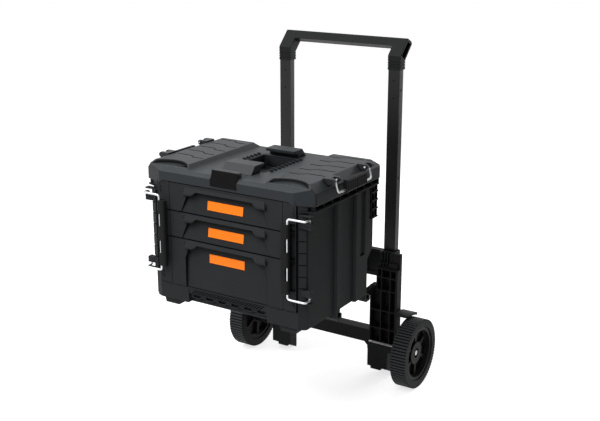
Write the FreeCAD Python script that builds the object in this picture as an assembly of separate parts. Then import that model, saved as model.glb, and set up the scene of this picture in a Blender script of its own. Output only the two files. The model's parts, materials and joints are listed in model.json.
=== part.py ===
import FreeCAD, Part
import math
import os
from FreeCAD import Vector

# A three-drawer site box carried on a two-wheel trolley with a telescopic handle.
# Millimetres. Drawn about the middle of the box: X across, Y front to back, Z up from the floor.

# Shared working values
OVERRUN = 5.0                # how far a cutting tool runs past the face it cuts
RUN_GAP = 0.3                # gap between flat faces that slide on each other
PIN_GAP = 0.05               # radial gap of a wire or axle that turns in its bore
MOULD_WALL = 6.0             # wall of the moulded box
TRIM_CHAMFER = 4.0           # small chamfer on moulded corners

# Lid
LID_W = 564.0
LID_D = 384.0
LID_SKIRT_H = 26.0
LID_WALL = 5.0
LID_CORNER_W = 58.0          # plan chamfer of the lid's front corners, along the front
LID_CORNER_D = 20.0          # and along the sides
LID_REAR_CORNER = 10.0
SKIRT_DROP = 8.0             # skirt hangs lower at the front corners and the sides
SKIRT_DROP_RUN = 12.0
LID_SIDE_RUN = 22.0          # how far the side slope leans in
LID_END_RUN = 30.0           # how far the front and rear slopes lean in
CHANNEL_RISE = 9.0           # middle channel above the skirt
PLATEAU_RISE = 23.0          # side plateaus above the skirt
PLATEAU_X = 138.0            # inner edge of a plateau
PLATEAU_RAMP = 12.0          # run of the ramp from plateau to channel
GROOVE_W = 5.0               # engraved lines on the plateaus
GROOVE_DEEP = 3.0
GROOVE_MARGIN = 9.0          # plateau edge left plain at both ends of a line
GROOVE_JOG = 16.0            # sideways step in each line
GROOVE_PLACE_SHARES = (-0.24, -0.10, 0.04, 0.18, 0.32)
THUMB_R = 76.0               # round thumb pocket in the front of each plateau
THUMB_OUT = 24.0             # its centre, ahead of the lid's front
THUMB_DEEP = 10.0

# Carry well and its two grip plates in the lid's channel
WELL_W = 124.0
WELL_D = 185.0
WELL_Y = 12.0                # middle of the well
WELL_SINK = 10.0             # well's underside below the box's rim
WELL_WALL = 4.0
WELL_FLOOR = 4.0
GRIP_PLATE_W = 100.0
GRIP_PLATE_BACK = 45.0       # depth of a plate's seat behind the well's edge
GRIP_PLATE_SET = 5.0         # seat's distance from the well's edge
GRIP_PLATE_H = 23.0
GRIP_PLATE_SLOPE = 20.0      # run of the slope at its far end
GRIP_PLATE_T = 9.0
GRIP_PLATE_REACH = 16.0      # lip over the well
WELL_RIB_W = 3.0             # small ribs along the well's two long edges
WELL_RIB_H = 6.0
WELL_RIB_L = 12.0
WELL_RIB_COUNT = 9

# Badge plate, left bare
BADGE_W = 88.0
BADGE_H = 43.0
BADGE_T = 3.0
BADGE_LIFT = 8.0             # its lower edge above the skirt's lower edge
BADGE_LEAN = 12.0            # its upper edge leans back by this much
BADGE_SEAT_D = 18.0          # boss behind the badge

# Box body
BODY_BASE_Z = 383.0          # underside of the box above the floor
LID_SIDE_OVERHANG = 22.0
LID_END_OVERHANG = 6.0
SILL_H = 49.0
TOP_DRAWER_H = 85.0
MIDDLE_DRAWER_H = 78.0
BOTTOM_DRAWER_H = 145.0
CORNER_W = 27.4              # corner post beside the jamb
JAMB_W = 41.6                # fixed jamb beside the drawers
JAMB_PROUD = 4.0
JAMB_LINE = 3.0              # grooves that carry the drawer gaps across the jamb
JAMB_POCKET_W = 20.0         # hand room in the jamb behind the lock's grip
JAMB_POCKET_SET = 2.0
JAMB_POCKET_DEEP = 6.0
BODY_CORNER_W = 24.0         # plan chamfer of the body's front corners, along the front
BODY_CORNER_D = 11.0         # and along the sides
BODY_EDGE = 3.0              # chamfer along the lower side edges
REAR_STEP = 40.0             # lower rear is set in by this much
REAR_STEP_H = 91.0           # height of the set-in part
SILL_T = 20.0                # thickness of the front sill
SILL_RECESS_W = 270.0
SILL_RECESS_DEEP = 7.0
SILL_EDGE = 4.0
SILL_UNDERCUT = 14.0         # middle of the sill ends above the body's underside
SILL_POCKET_W = 24.0
SILL_POCKET_H = 9.0
SILL_POCKET_DEEP = 4.0
SILL_POCKET_COUNT = 6
SILL_NOTCH_W = 18.0
SILL_NOTCH_H = 4.0
SILL_GRILLE_H = 16.0
SILL_GRILLE_T = 5.0
SILL_SLOT_W = 5.0
SILL_SLOT_COUNT = 24
FOOT_H = 17.0
FOOT_W = 58.0
FOOT_D = 46.0
FOOT_INSET = 30.0            # front feet inside the body's sides
REAR_FOOT_INSET = 66.0       # rear feet inside the body's sides
REAR_FOOT_W = 56.0
FOOT_FRONT_SET = 6.0         # front feet behind the body's front
FOOT_SET = 14.0              # rear feet inside the body's rear
FOOT_TAPER = 5.0
SCREW_AF = 7.0               # hexagon screw heads across flats
SCREW_T = 2.0
SCREW_EDGE = 9.0             # screw heads from the jamb's outer edge
SCREW_END = 20.0             # screw heads from the jamb's ends
SCREW_PITCH = 12.0

# Ribs, hooks and flanges on the box's sides
RIB_PROUD = 8.0
RIB_SLOPE = 5.0
FRONT_RIB_Y = -24.0          # middle of the front rib
FRONT_RIB_W = 30.0
REAR_RIB_AHEAD = 74.0        # middle of the double rear rib ahead of the back
REAR_RIB_W = 88.0
REAR_RIB_VALLEY = 18.0
HOOK_DROP = 24.0
HOOK_REACH = 30.0
HOOK_T = 8.0
HOOK_LIP = 10.0
HOOK_W = 26.0
FLANGE_T = 4.0
FLANGE_DROP = 26.0           # flange's underside below the rim
FLANGE_SET = 1.0             # flange inside the lid's outline
WEB_T = 3.0
WEB_SET = 4.0                # webs inside the flange's edge
WEB_COUNT = 9
CORNER_RIB_H = 128.0         # ribbed block at the rear corner
CORNER_RIB_D = 30.0
CORNER_RIB_OUT = 12.0
CORNER_RIB_BACK = 8.0        # block behind the body's back
CORNER_RIB_COUNT = 5

# Drawers
DRAWER_GAP = 3.0             # gap above and below a drawer front
DRAWER_SIDE_GAP = 0.6
FRONT_T = 18.0
RECESS_DEEP = 11.0           # label field under the lip
RECESS_LOW_DEEP = 2.0        # label field at the drawer's lower edge
PANEL_LOW_DEEP = 5.0         # the same on the deep drawer
RECESS_IN = 4.0              # field's upper corners inside the lip's narrow edge
RECESS_LOW_W = 300.0
LIP_W = 282.0                # along the lip's lower edge
LIP_TAPER = 9.0              # each end leans in by this much
LIP_OUT = 8.0
LIP_EDGE = 5.0
LIP_T = 3.0                  # lip's root inside the front
LIP_TOP = 3.0                # lip starts below the gap above the drawer
LIP_H = 22.0
NOTCH_W = 218.0
NOTCH_RUN = 15.0
NOTCH_RISE = 12.0
LABEL_W = 120.0
LABEL_H = 25.5
LABEL_T = 1.4
LABEL_DROP = 33.0            # label's upper edge below the gap above the drawer
PANEL_W = 280.0              # sunk panel of the deep drawer
PANEL_LEAN_H = 30.0          # height in which it widens under the lip
TRAY_WALL = 3.0
TRAY_BEHIND = 4.0            # room behind the drawer cage
TRAY_FLOOR_RISE = 8.0
TRAY_TOP_DROP = 14.0
RAIL_T = 5.0
RAIL_H = 16.0
RAIL_SET = 8.0               # rail ends from the tray's ends
CHANNEL_LIP = 3.0
CHANNEL_WEB = 8.0
CAGE_WALL = 4.0

# Wire bails: the two drawer locks and the two stacking latches
WIRE_R = 3.0
WIRE_BEND = 8.0
WIRE_SIDES = 8               # flats round the wire
BEND_STEPS = 3               # flats along a bend
STUB_L = 25.0                # wire end, bend included, that enters its bracket
LOCK_TOP_DROP = 41.0         # upper run below the rim
LOCK_LOW_RISE = 42.0         # lower run above the sill
LOCK_AXIS_OUT = 11.0         # pivot outside the body's side
LOCK_AXIS_BACK = 4.0         # pivot behind the body's front
LOCK_STANDOFF = 16.0         # wire ahead of the jamb
LOCK_WIRE_IN = 17.6          # upright run inside the jamb's outer edge
SLEEVE_W = 25.0
SLEEVE_T = 13.0
SLEEVE_IN_SHARE = 0.78       # part of the sleeve that lies inside the wire
SLEEVE_END = 15.0            # wire left bare at both ends of a sleeve
WINDOW_W = 8.0
WINDOW_H = 38.0
WINDOW_PLACE_SHARES = (0.29, 0.70)
LOCK_BRACKET_H = 18.0
LOCK_BRACKET_CLEAR = 1.0     # between a bracket and the start of the wire's bend
LOCK_BRACKET_R = 8.0         # bracket round the pivot's axis
LOCK_HOOD_T = 4.0            # plate over the wire's upper run, and under its lower run
LOCK_HOOD_GAP = 7.0          # plate from the run's middle
LOCK_RAIL_T = 7.0
LOCK_RAIL_SET = 3.0
LOCK_RAIL_TICKS = 6
LOCK_TICK_MARGIN = 30.0
LOCK_TICK = 2.5
STACK_Y = 8.0                # middle of a stacking latch
STACK_SPAN = 184.0
STACK_AXIS_OUT = 6.0         # pivot outside the lid's skirt
STACK_AXIS_RISE = 20.0       # pivot above the skirt
STACK_LEAN = 10.0            # bail's lower run stands out by this much
STACK_DROP = 34.0
STACK_STUB = 24.0
PADDLE_L = 110.0
PADDLE_T = 14.0
PADDLE_H = 36.0
PADDLE_BELOW = 8.0           # plate below the wire's middle
PADDLE_RIB = 1.5
PADDLE_RIB_COUNT = 9
STACK_BRACKET_W = 40.0
STACK_SLOT_IN = 10.0         # slot for the leg and its bend, towards the latch's middle
STACK_SLOT_OUT = 7.0
STACK_BRACKET_EYE = 7.0      # eye's wall round the wire's axis
STACK_SEAT_SHARES = (0.35, 0.95)

# Wheels and axles
AXLE_BEHIND = 202.0          # axle behind the box's back
WHEEL_R = 112.4
WHEEL_W = 51.6
WHEEL_BESIDE = 35.4          # wheel's inner face beyond the tower
RIM_SIDES = 36               # flats round the rim and in the tyre
TREAD_COUNT = 72
TREAD_DEEP = 3.2
TREAD_CREST_SHARE = 0.62
TREAD_ROOT_SHARE = 0.80
TYRE_T = 24.0
RIM_T = 12.0
RIM_SET = 4.0
WEB_DISC_T = 24.0
WEB_DISC_SET = 17.0          # disc behind the wheel's outer face
POCKET_COUNT = 6
POCKET_DEEP = 10.0
POCKET_IN = 6.0              # pockets' inner edge outside the boss
POCKET_RIM = 4.0             # pockets' outer edge inside the rim
POCKET_ANGLE_SHARE = 0.80
BOSS_R = 24.0
BOSS_SET = 24.0              # boss's end behind the wheel's outer face
BUSH_T = 3.0
AXLE_R = 8.0
WASHER_R = 15.0
WASHER_T = 2.0
NUT_AF = 15.0
NUT_H = 7.0
ROUND_SIDES = 12             # flats round a washer and a bush's seat
GUARD_CLEAR = 6.0
GUARD_T = 9.0
GUARD_REACH = 48.0
GUARD_FROM_DEG = 66.0
GUARD_TO_DEG = 98.0

# Trolley towers
TUBE_INSIDE = 63.5           # middle of a handle tube inside the box's side
TUBE_W = 39.0
TUBE_D = 25.0
TUBE_BEHIND = 34.0           # tube's front face behind the axle
TUBE_WALL = 2.0
TUBE_GAP = 0.4
TOWER_IN = 5.0               # housing wall inside the tube
TOWER_OUT = 5.0              # housing wall outside the tube
TOWER_FRONT = 7.0            # housing wall ahead of the tube
TOWER_REAR = 4.0
TOWER_TOP_Z = 425.0
PANEL_T = 30.0               # ribbed panel ahead of the housing
PANEL_TOP = 50.0             # panel's top below the tower's top
PANEL_WIDE = 22.0            # wide part beyond the housing's inner wall
PANEL_OUT = 26.0             # panel beyond the housing's outer wall
PANEL_SIDE = 7.0             # panel's plain outer side wall
NECK_T = 14.0                # fluted neck above the panel
GRID_RIB = 4.0
GRID_DEEP = 27.0
GRID_COLUMN_SHARES = (0.42, 0.77)
GRID_ROW_SHARES = (0.0, 0.21, 0.45, 0.72, 0.89, 1.0)
LEDGE_T = 7.0
LEDGE_H = 17.0
FLUTE_W = 5.0
FLUTE_DEEP = 7.0
FLUTE_PITCH = 10.0
FLUTE_COUNT = 3
LUG_REACH = 46.0
LUG_W = 20.0
LUG_TOP = 112.0              # lug's top below the tower's top
LUG_H = 17.0
LUG_LIP_T = 8.0
LUG_LIP_H = 32.0
TOE_TOP_RISE = 3.0           # axle block above the axle, whose upper side shows
TOE_AHEAD = 16.0             # axle block ahead of the axle
TOE_BELOW = 17.3             # axle block below the axle, where the foot starts
HEEL_D = 16.0                # part of the foot that stands on the floor
HEEL_RISE = 34.0             # foot's front edge above the floor
HEEL_FLOOR = 38.0            # solid under the tube's bore
HEEL_OUT = 25.0              # foot inside the tower's outer side
HEEL_SET = 3.0               # foot behind the axle block's front
TAB_SET = 12.0               # tab inside the foot's inner edge
TAB_W = 37.0
TAB_D = 16.0
TAB_H = 9.0

# Cross members and the load carrier
CROSS_Z = 330.0
CROSS_H = 90.0
CROSS_D = 22.0
CROSS_BEHIND = 36.0          # front face behind the axle
CROSS_PANEL_DEEP = 4.0
CROSS_PANEL_EDGE = 14.0
BEAM_BELOW = 2.4             # beam's underside below the axle
BEAM_H = 45.0
BEAM_D = 40.0
BEAM_GUSSET = 18.0
BEAM_RIB_COUNT = 9
BEAM_RIB_T = 4.0
BEAM_POCKET_DEEP = 18.0
ARM_CLEAR = 33.0             # between an arm and the box's rear foot beside it
ARM_W = 34.0
ARM_FRONT = -90.0
ARM_TIP_H = 18.0
ARM_ROOT_H = 38.0
ARM_BEND_AHEAD = 124.0       # where an arm starts to rise, ahead of the cross member
ARM_TIP_SLOPE = 12.0
ARM_BAR_D = 30.0
ARM_BAR_SET = 14.0
BACK_PLATE_T = 8.0
BACK_PLATE_EDGE = 3.0
BOLT_AF = 13.0
BOLT_H = 5.0
BOLT_EDGE = 18.0

# Telescopic handle
TUBE_LOW_Z = 325.0
GRIP_LOW_Z = 1003.0
GRIP_BEND_Z = 1046.0
GRIP_SOCKET = 34.0           # tube's length inside the grip
GRIP_WALL = 2.0
GRIP_BACK_WALL = 7.0
GRIP_RISE = 46.0
GRIP_LEAN = 45.0
GRIP_BAR_SHARE = 0.58        # where the bar's underside crosses the lean
GRIP_CHAMFER = 5.0
GRIP_POCKET_DEEP = 18.0
GRIP_POCKET_EDGE = 7.0
COLLAR_LINE = 2.0
COLLAR_DEEP = 1.2
COLLAR_PITCH = 8.0
COLLAR_COUNT = 3
TUBE_HOLE_R = 2.3
TUBE_HOLE_DROPS = (33.0, 88.0)
TUBE_SLOT_W = 6.0
TUBE_SLOT_H = 9.0
TUBE_SLOT_DROPS = (63.0, 339.0)

# Places that follow from the sizes above
HALF_W = LID_W / 2 - LID_SIDE_OVERHANG
HALF_D = LID_D / 2 - LID_END_OVERHANG
SILL_Z = BODY_BASE_Z + SILL_H
RIM_Z = SILL_Z + BOTTOM_DRAWER_H + MIDDLE_DRAWER_H + TOP_DRAWER_H
SKIRT_TOP = RIM_Z + LID_SKIRT_H
CHANNEL_Z = SKIRT_TOP + CHANNEL_RISE
PLATEAU_Z = SKIRT_TOP + PLATEAU_RISE
JAMB_X = HALF_W - CORNER_W
BAY_X = JAMB_X - JAMB_W
JAMB_Y = -HALF_D - JAMB_PROUD
DRAWER_FRONT_X = BAY_X - DRAWER_SIDE_GAP
TRAY_FRONT = JAMB_Y + FRONT_T
TRAY_REAR = HALF_D - REAR_STEP - MOULD_WALL - TRAY_BEHIND - CAGE_WALL - RAIL_SET
TRAY_X = BAY_X - CHANNEL_WEB - RUN_GAP - RAIL_T
WIRE_Y = JAMB_Y - LOCK_STANDOFF
WIRE_X = JAMB_X - LOCK_WIRE_IN
LOCK_X = HALF_W + LOCK_AXIS_OUT
LOCK_Y = -HALF_D + LOCK_AXIS_BACK
LOCK_TOP = RIM_Z - LOCK_TOP_DROP
LOCK_LOW = SILL_Z + LOCK_LOW_RISE
STACK_X = LID_W / 2 + STACK_AXIS_OUT
STACK_Z = SKIRT_TOP + STACK_AXIS_RISE
REAR_RIB_Y = HALF_D - REAR_RIB_AHEAD
AXLE_Y = HALF_D + AXLE_BEHIND
TREAD_STEP = 2 * math.pi / TREAD_COUNT
AXLE_Z = WHEEL_R * math.cos(TREAD_STEP * TREAD_CREST_SHARE / 2)
TUBE_X = HALF_W - TUBE_INSIDE
TUBE_IN_X = TUBE_X - TUBE_W / 2
TUBE_OUT_X = TUBE_X + TUBE_W / 2
TUBE_Y = AXLE_Y + TUBE_BEHIND
TOWER_IN_X = TUBE_IN_X - TOWER_IN
HOUSING_OUT_X = TUBE_OUT_X + TOWER_OUT
TOWER_OUT_X = HOUSING_OUT_X + PANEL_OUT
WHEEL_IN_X = TOWER_OUT_X + WHEEL_BESIDE
WHEEL_OUT_X = WHEEL_IN_X + WHEEL_W
HOUSING_Y = TUBE_Y - TOWER_FRONT
HOUSING_REAR = TUBE_Y + TUBE_D + TOWER_REAR
PANEL_Y = HOUSING_Y - PANEL_T
PANEL_IN_X = TOWER_IN_X - PANEL_WIDE
TOE_TOP = AXLE_Z + TOE_TOP_RISE
TOE_Y = AXLE_Y - TOE_AHEAD
TOWER_LOW_Z = AXLE_Z - TOE_BELOW
BEAM_Z = AXLE_Z - BEAM_BELOW
CROSS_Y = AXLE_Y + CROSS_BEHIND
ARM_X = HALF_W - REAR_FOOT_INSET - REAR_FOOT_W - ARM_CLEAR - ARM_W / 2
BOLT_X = (ARM_X - ARM_W / 2) / 2
FRONT_REACH = -WIRE_Y + SLEEVE_T / 2
REAR_REACH = AXLE_Y + WHEEL_R
MIDDLE_Y = (REAR_REACH - FRONT_REACH) / 2


def block(x0, x1, y0, y1, z0, z1):
    return Part.makeBox(x1 - x0, y1 - y0, z1 - z0, Vector(x0, y0, z0))


def sheet(corners):
    return Part.Face(Part.makePolygon(corners + corners[:1]))


def prism_x(outline, x0, x1):
    return sheet([Vector(x0, y, z) for y, z in outline]).extrude(Vector(x1 - x0, 0, 0))


def prism_y(outline, y0, y1):
    return sheet([Vector(x, y0, z) for x, z in outline]).extrude(Vector(0, y1 - y0, 0))


def prism_z(outline, z0, z1):
    return sheet([Vector(x, y, z0) for x, y in outline]).extrude(Vector(0, 0, z1 - z0))


def bar_x(r, y, z, x0, x1):
    return Part.makeCylinder(r, x1 - x0, Vector(x0, y, z), Vector(1, 0, 0))


def bar_y(r, x, z, y0, y1):
    return Part.makeCylinder(r, y1 - y0, Vector(x, y0, z), Vector(0, 1, 0))


def bar_z(r, x, y, z0, z1):
    return Part.makeCylinder(r, z1 - z0, Vector(x, y, z0), Vector(0, 0, 1))


def mirrored(shape):
    return shape.mirror(Vector(0, 0, 0), Vector(1, 0, 0))


def both_sides(shape):
    return [shape, mirrored(shape)]


def joined(shapes):
    return shapes[0].multiFuse(shapes[1:]).removeSplitter()


def less(shape, tools):
    return shape.cut(tools).removeSplitter()


def spread(count, low, high):
    # Evenly spaced places from low to high, both ends included.
    return [low + (high - low) * i / (count - 1) for i in range(count)]


def skinned(rings):
    # A solid with flat faces between one ring of points and the next, and flat ends.
    faces = [sheet(rings[0]), sheet(rings[-1])]
    for ring, after in zip(rings, rings[1:]):
        faces += [sheet([ring[k - 1], ring[k], after[k], after[k - 1]]) for k in range(len(ring))]
    return Part.Solid(Part.Shell(faces))


def rounded_path(points, bend):
    # The points with each corner replaced by a few points on its bend.
    path = [points[0]]
    for before, corner, after in zip(points, points[1:], points[2:]):
        back = (before - corner).normalize()
        ahead = (after - corner).normalize()
        half = back.getAngle(ahead) / 2
        first = corner + back * (bend / math.tan(half))
        centre = corner + (back + ahead).normalize() * (bend / math.sin(half))
        for step in range(BEND_STEPS + 1):
            turn = (math.pi - 2 * half) * step / BEND_STEPS
            path.append(centre + (first - centre) * math.cos(turn) - back * (bend * math.sin(turn)))
    return path + [points[-1]]


def bent_wire(points, radius, bend):
    # A wire with a flat-sided section, carried along each run to the mitre at its end.
    path = rounded_path(points, bend)
    ahead = (path[1] - path[0]).normalize()
    side = ahead.cross(points[2] - points[1]).normalize()
    up = side.cross(ahead)
    turns = [2 * math.pi * k / WIRE_SIDES for k in range(WIRE_SIDES)]
    ring = [path[0] + side * (radius * math.cos(turn)) + up * (radius * math.sin(turn)) for turn in turns]
    rings = [ring]
    last = path[-1] + path[-1] - path[-2]
    for before, here, after in zip(path, path[1:], path[2:] + [last]):
        run = (here - before).normalize()
        mitre = run + (after - here).normalize()
        ring = [p + run * ((here - p).dot(mitre) / run.dot(mitre)) for p in ring]
        rings.append(ring)
    return skinned(rings)


def lid_plan(inset, low_z, high_z):
    x = LID_W / 2 - inset
    y = LID_D / 2 - inset
    rear = LID_REAR_CORNER
    right = [(x - LID_CORNER_W, -y), (x, LID_CORNER_D - y), (x, y - rear), (x - rear, y)]
    return prism_z(right + [(-px, py) for px, py in reversed(right)], low_z, high_z)


def side_skirt():
    # The deeper skirt round the right side and its corners, outside the body.
    low = RIM_Z - SKIRT_DROP
    x = LID_W / 2 - LID_CORNER_W
    y = LID_D / 2
    outline = [(x - SKIRT_DROP_RUN, RIM_Z), (x, low), (LID_W / 2, low), (LID_W / 2, RIM_Z)]
    wall = lid_plan(0, low, RIM_Z).cut(lid_plan(LID_WALL, low, RIM_Z))
    jamb = block(0, JAMB_X, JAMB_Y, HALF_D, low, RIM_Z)
    return prism_y(outline, -y, y).common(wall).cut([body_form(0), jamb])


def lid_form(inset, low_z):
    # The lid's outer form, or the hollow inside it when inset by the wall.
    x = LID_W / 2 - inset
    y = LID_D / 2 - inset
    knee = SKIRT_TOP - inset / 2
    ramp = PLATEAU_X - PLATEAU_RAMP
    right = [(x, low_z), (x, knee), (x - LID_SIDE_RUN, PLATEAU_Z - inset),
             (PLATEAU_X + inset, PLATEAU_Z - inset), (ramp + inset, CHANNEL_Z - inset)]
    across = right + [(-px, pz) for px, pz in reversed(right)]
    along = [(-y, low_z), (-y, knee), (LID_END_RUN - y, PLATEAU_Z - inset),
             (y - LID_END_RUN, PLATEAU_Z - inset), (y, knee), (y, low_z)]
    form = prism_y(across, -y, y).common(prism_x(along, -x, x))
    return form.common(lid_plan(inset, low_z, PLATEAU_Z))


def plateau_line(y):
    # One engraved line across the right plateau, with a slanting step in it.
    x0 = PLATEAU_X + GROOVE_MARGIN
    x1 = LID_W / 2 - LID_SIDE_RUN - GROOVE_MARGIN
    step0 = x0 + (x1 - x0) / 3
    step1 = step0 + GROOVE_JOG
    low = [(x0, y), (step0, y), (step1, y + GROOVE_JOG), (x1, y + GROOVE_JOG)]
    high = [(px, py + GROOVE_W) for px, py in reversed(low)]
    return prism_z(low + high, PLATEAU_Z - GROOVE_DEEP, PLATEAU_Z + OVERRUN)


def badge_slab(near, far):
    # A slab in the middle of the lid's front, leaning back, between two distances from the front.
    y = -LID_D / 2
    low = RIM_Z + BADGE_LIFT
    high = low + BADGE_H
    outline = [(y + near, low), (y + far, low), (y + far + BADGE_LEAN, high), (y + near + BADGE_LEAN, high)]
    return prism_x(outline, -BADGE_W / 2, BADGE_W / 2)


def lid():
    shell = lid_form(0, RIM_Z).cut(lid_form(LID_WALL, RIM_Z - OVERRUN))
    well_x = WELL_W / 2
    well_y = WELL_D / 2
    tub = block(-well_x - WELL_WALL, well_x + WELL_WALL, WELL_Y - well_y - WELL_WALL,
                WELL_Y + well_y + WELL_WALL, RIM_Z - WELL_SINK, CHANNEL_Z)
    seat = badge_slab(0, BADGE_SEAT_D)
    pocket_x = (PLATEAU_X + LID_W / 2 - LID_SIDE_RUN) / 2
    pocket_y = -LID_D / 2 - THUMB_OUT
    pocket_z = PLATEAU_Z - THUMB_DEEP
    pocket_floor = block(PLATEAU_X, LID_W / 2 - LID_SIDE_RUN, LID_END_RUN - LID_D / 2,
                         pocket_y + THUMB_R + LID_WALL, pocket_z - LID_WALL, PLATEAU_Z - LID_WALL)
    solid = joined([shell, tub, seat] + both_sides(pocket_floor) + both_sides(side_skirt()))
    void = block(-well_x, well_x, WELL_Y - well_y, WELL_Y + well_y,
                 RIM_Z - WELL_SINK + WELL_FLOOR, PLATEAU_Z)
    pocket = bar_z(THUMB_R, pocket_x, pocket_y, pocket_z, PLATEAU_Z + OVERRUN)
    lines = [plateau_line(share * LID_D) for share in GROOVE_PLACE_SHARES]
    tools = [void, badge_slab(-BADGE_SEAT_D, 0)] + both_sides(pocket)
    for line in lines:
        tools += both_sides(line)
    return less(solid, tools)


def grip_plates():
    # Two raised plates whose lips overhang the carry well.
    edge = WELL_D / 2
    seat = edge + GRIP_PLATE_SET
    back = seat + GRIP_PLATE_BACK
    top = CHANNEL_Z + GRIP_PLATE_H
    tip = edge - GRIP_PLATE_REACH
    outline = [(WELL_Y + y, z) for y, z in (
        (seat, CHANNEL_Z), (back, CHANNEL_Z), (back - GRIP_PLATE_SLOPE, top), (tip, top),
        (tip, top - GRIP_PLATE_T), (seat, top - GRIP_PLATE_T - TRIM_CHAMFER))]
    rear = prism_x(outline, -GRIP_PLATE_W / 2, GRIP_PLATE_W / 2)
    front = rear.mirror(Vector(0, WELL_Y, 0), Vector(0, 1, 0))
    return Part.makeCompound([front, rear])


def well_ribs():
    # Short ribs beside the well, between the two plates.
    x0 = WELL_W / 2 + WELL_WALL
    reach = WELL_D / 2 - GRIP_PLATE_REACH
    ribs = [block(x0, x0 + WELL_RIB_L, y, y + WELL_RIB_W, CHANNEL_Z, CHANNEL_Z + WELL_RIB_H)
            for y in spread(WELL_RIB_COUNT, WELL_Y - reach, WELL_Y + reach - WELL_RIB_W)]
    return Part.makeCompound(ribs + [mirrored(rib) for rib in ribs])


def badge_plate():
    return badge_slab(-BADGE_T, 0)


def body_form(inset):
    # The body's outer form, or the hollow inside it when inset by the wall.
    low = BODY_BASE_Z + inset
    high = RIM_Z + inset
    x = HALF_W - inset
    y = HALF_D - inset
    step_y = y - REAR_STEP
    step_z = BODY_BASE_Z + REAR_STEP_H + inset / 2
    edge = BODY_EDGE
    side = [(-y, low), (-y, high), (y, high), (y, step_z + REAR_STEP), (step_y, step_z), (step_y, low)]
    front = [(edge - x, low), (-x, low + edge), (-x, high), (x, high), (x, low + edge), (x - edge, low)]
    right = [(x - BODY_CORNER_W, -y), (x, BODY_CORNER_D - y), (x, y)]
    plan = right + [(-px, py) for px, py in reversed(right)]
    return prism_x(side, -x, x).common(prism_y(front, -y, y)).common(prism_z(plan, low, high))


def body_shell():
    # One moulding: bottom, back, sides, front posts and sill, open at the top and towards the drawers.
    wall = MOULD_WALL
    hollow = body_form(wall)
    sill = hollow.common(block(-HALF_W, HALF_W, -HALF_D, SILL_T - HALF_D, BODY_BASE_Z, SILL_Z))
    jamb = block(BAY_X, JAMB_X, JAMB_Y, wall - HALF_D, SILL_Z, RIM_Z)
    solid = joined([body_form(0).cut(hollow), sill] + both_sides(jamb))
    window = block(-BAY_X, BAY_X, -HALF_D - OVERRUN, SILL_T - HALF_D, SILL_Z, RIM_Z + OVERRUN)
    post_line = block(JAMB_X, JAMB_X + JAMB_LINE, -HALF_D - OVERRUN, -HALF_D + JAMB_LINE, SILL_Z, RIM_Z)
    undercut_top = BODY_BASE_Z + SILL_UNDERCUT
    undercut = block(-SILL_RECESS_W / 2, SILL_RECESS_W / 2, -HALF_D - OVERRUN, SILL_UNDERCUT - HALF_D,
                     BODY_BASE_Z - OVERRUN, undercut_top)
    recess = block(-SILL_RECESS_W / 2, SILL_RECESS_W / 2, -HALF_D - OVERRUN, SILL_RECESS_DEEP - HALF_D,
                   undercut_top, SILL_Z - SILL_EDGE)
    tools = [window, recess, undercut] + both_sides(post_line)
    gaps = [SILL_Z + JAMB_LINE / 2, SILL_Z + BOTTOM_DRAWER_H, SILL_Z + BOTTOM_DRAWER_H + MIDDLE_DRAWER_H]
    for z in gaps:
        line = block(BAY_X - OVERRUN, JAMB_X + OVERRUN, JAMB_Y - OVERRUN, JAMB_Y + JAMB_LINE,
                     z - JAMB_LINE / 2, z + JAMB_LINE / 2)
        tools += both_sides(line)
    rests = [LOCK_LOW + SLEEVE_END] + gaps[1:] + [LOCK_TOP - SLEEVE_END]
    room_x = JAMB_X - JAMB_POCKET_SET
    for low, high in zip(rests, rests[1:]):
        room = block(room_x - JAMB_POCKET_W, room_x, JAMB_Y - OVERRUN, JAMB_Y + JAMB_POCKET_DEEP,
                     low + JAMB_LINE, high - JAMB_LINE)
        tools += both_sides(room)
    pocket_x = SILL_RECESS_W / 2 - SILL_POCKET_W
    pocket_y = SILL_RECESS_DEEP - HALF_D
    for x in spread(SILL_POCKET_COUNT, -pocket_x, pocket_x):
        tools.append(block(x - SILL_POCKET_W / 2, x + SILL_POCKET_W / 2, pocket_y - OVERRUN,
                           pocket_y + SILL_POCKET_DEEP, undercut_top + SILL_EDGE,
                           undercut_top + SILL_EDGE + SILL_POCKET_H))
    step = 2 * pocket_x / (SILL_POCKET_COUNT - 1)
    for x in spread(SILL_POCKET_COUNT - 1, step / 2 - pocket_x, pocket_x - step / 2):
        tools.append(block(x - SILL_NOTCH_W / 2, x + SILL_NOTCH_W / 2, -HALF_D - OVERRUN,
                           SILL_UNDERCUT - HALF_D, BODY_BASE_Z, undercut_top + SILL_NOTCH_H))
    return less(solid, tools)


def sill_grille():
    # Slanted slats along the top of the sill's recess.
    half = SILL_RECESS_W / 2
    y1 = SILL_RECESS_DEEP - HALF_D
    top = SILL_Z - SILL_EDGE
    low = top - SILL_GRILLE_H
    strip = block(-half, half, y1 - SILL_GRILLE_T, y1, low, top)
    slots = []
    for x in spread(SILL_SLOT_COUNT, SILL_GRILLE_H - half, half - SILL_GRILLE_H - SILL_SLOT_W):
        lean = SILL_GRILLE_H / 2
        outline = [(x - lean, low + SILL_EDGE / 2), (x - lean + SILL_SLOT_W, low + SILL_EDGE / 2),
                   (x + lean + SILL_SLOT_W, top - SILL_EDGE / 2), (x + lean, top - SILL_EDGE / 2)]
        slots.append(prism_y(outline, y1 - SILL_GRILLE_T - OVERRUN, y1 - SILL_GRILLE_T / 5))
    return less(strip, slots)


def box_foot(inset, width, y):
    # One right-hand skid, narrower at its lower end.
    x1 = HALF_W - inset
    x0 = x1 - width
    low = BODY_BASE_Z - FOOT_H
    return prism_y([(x0, BODY_BASE_Z), (x1, BODY_BASE_Z), (x1 - FOOT_TAPER, low), (x0 + FOOT_TAPER, low)],
                   y, y + FOOT_D)


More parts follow.
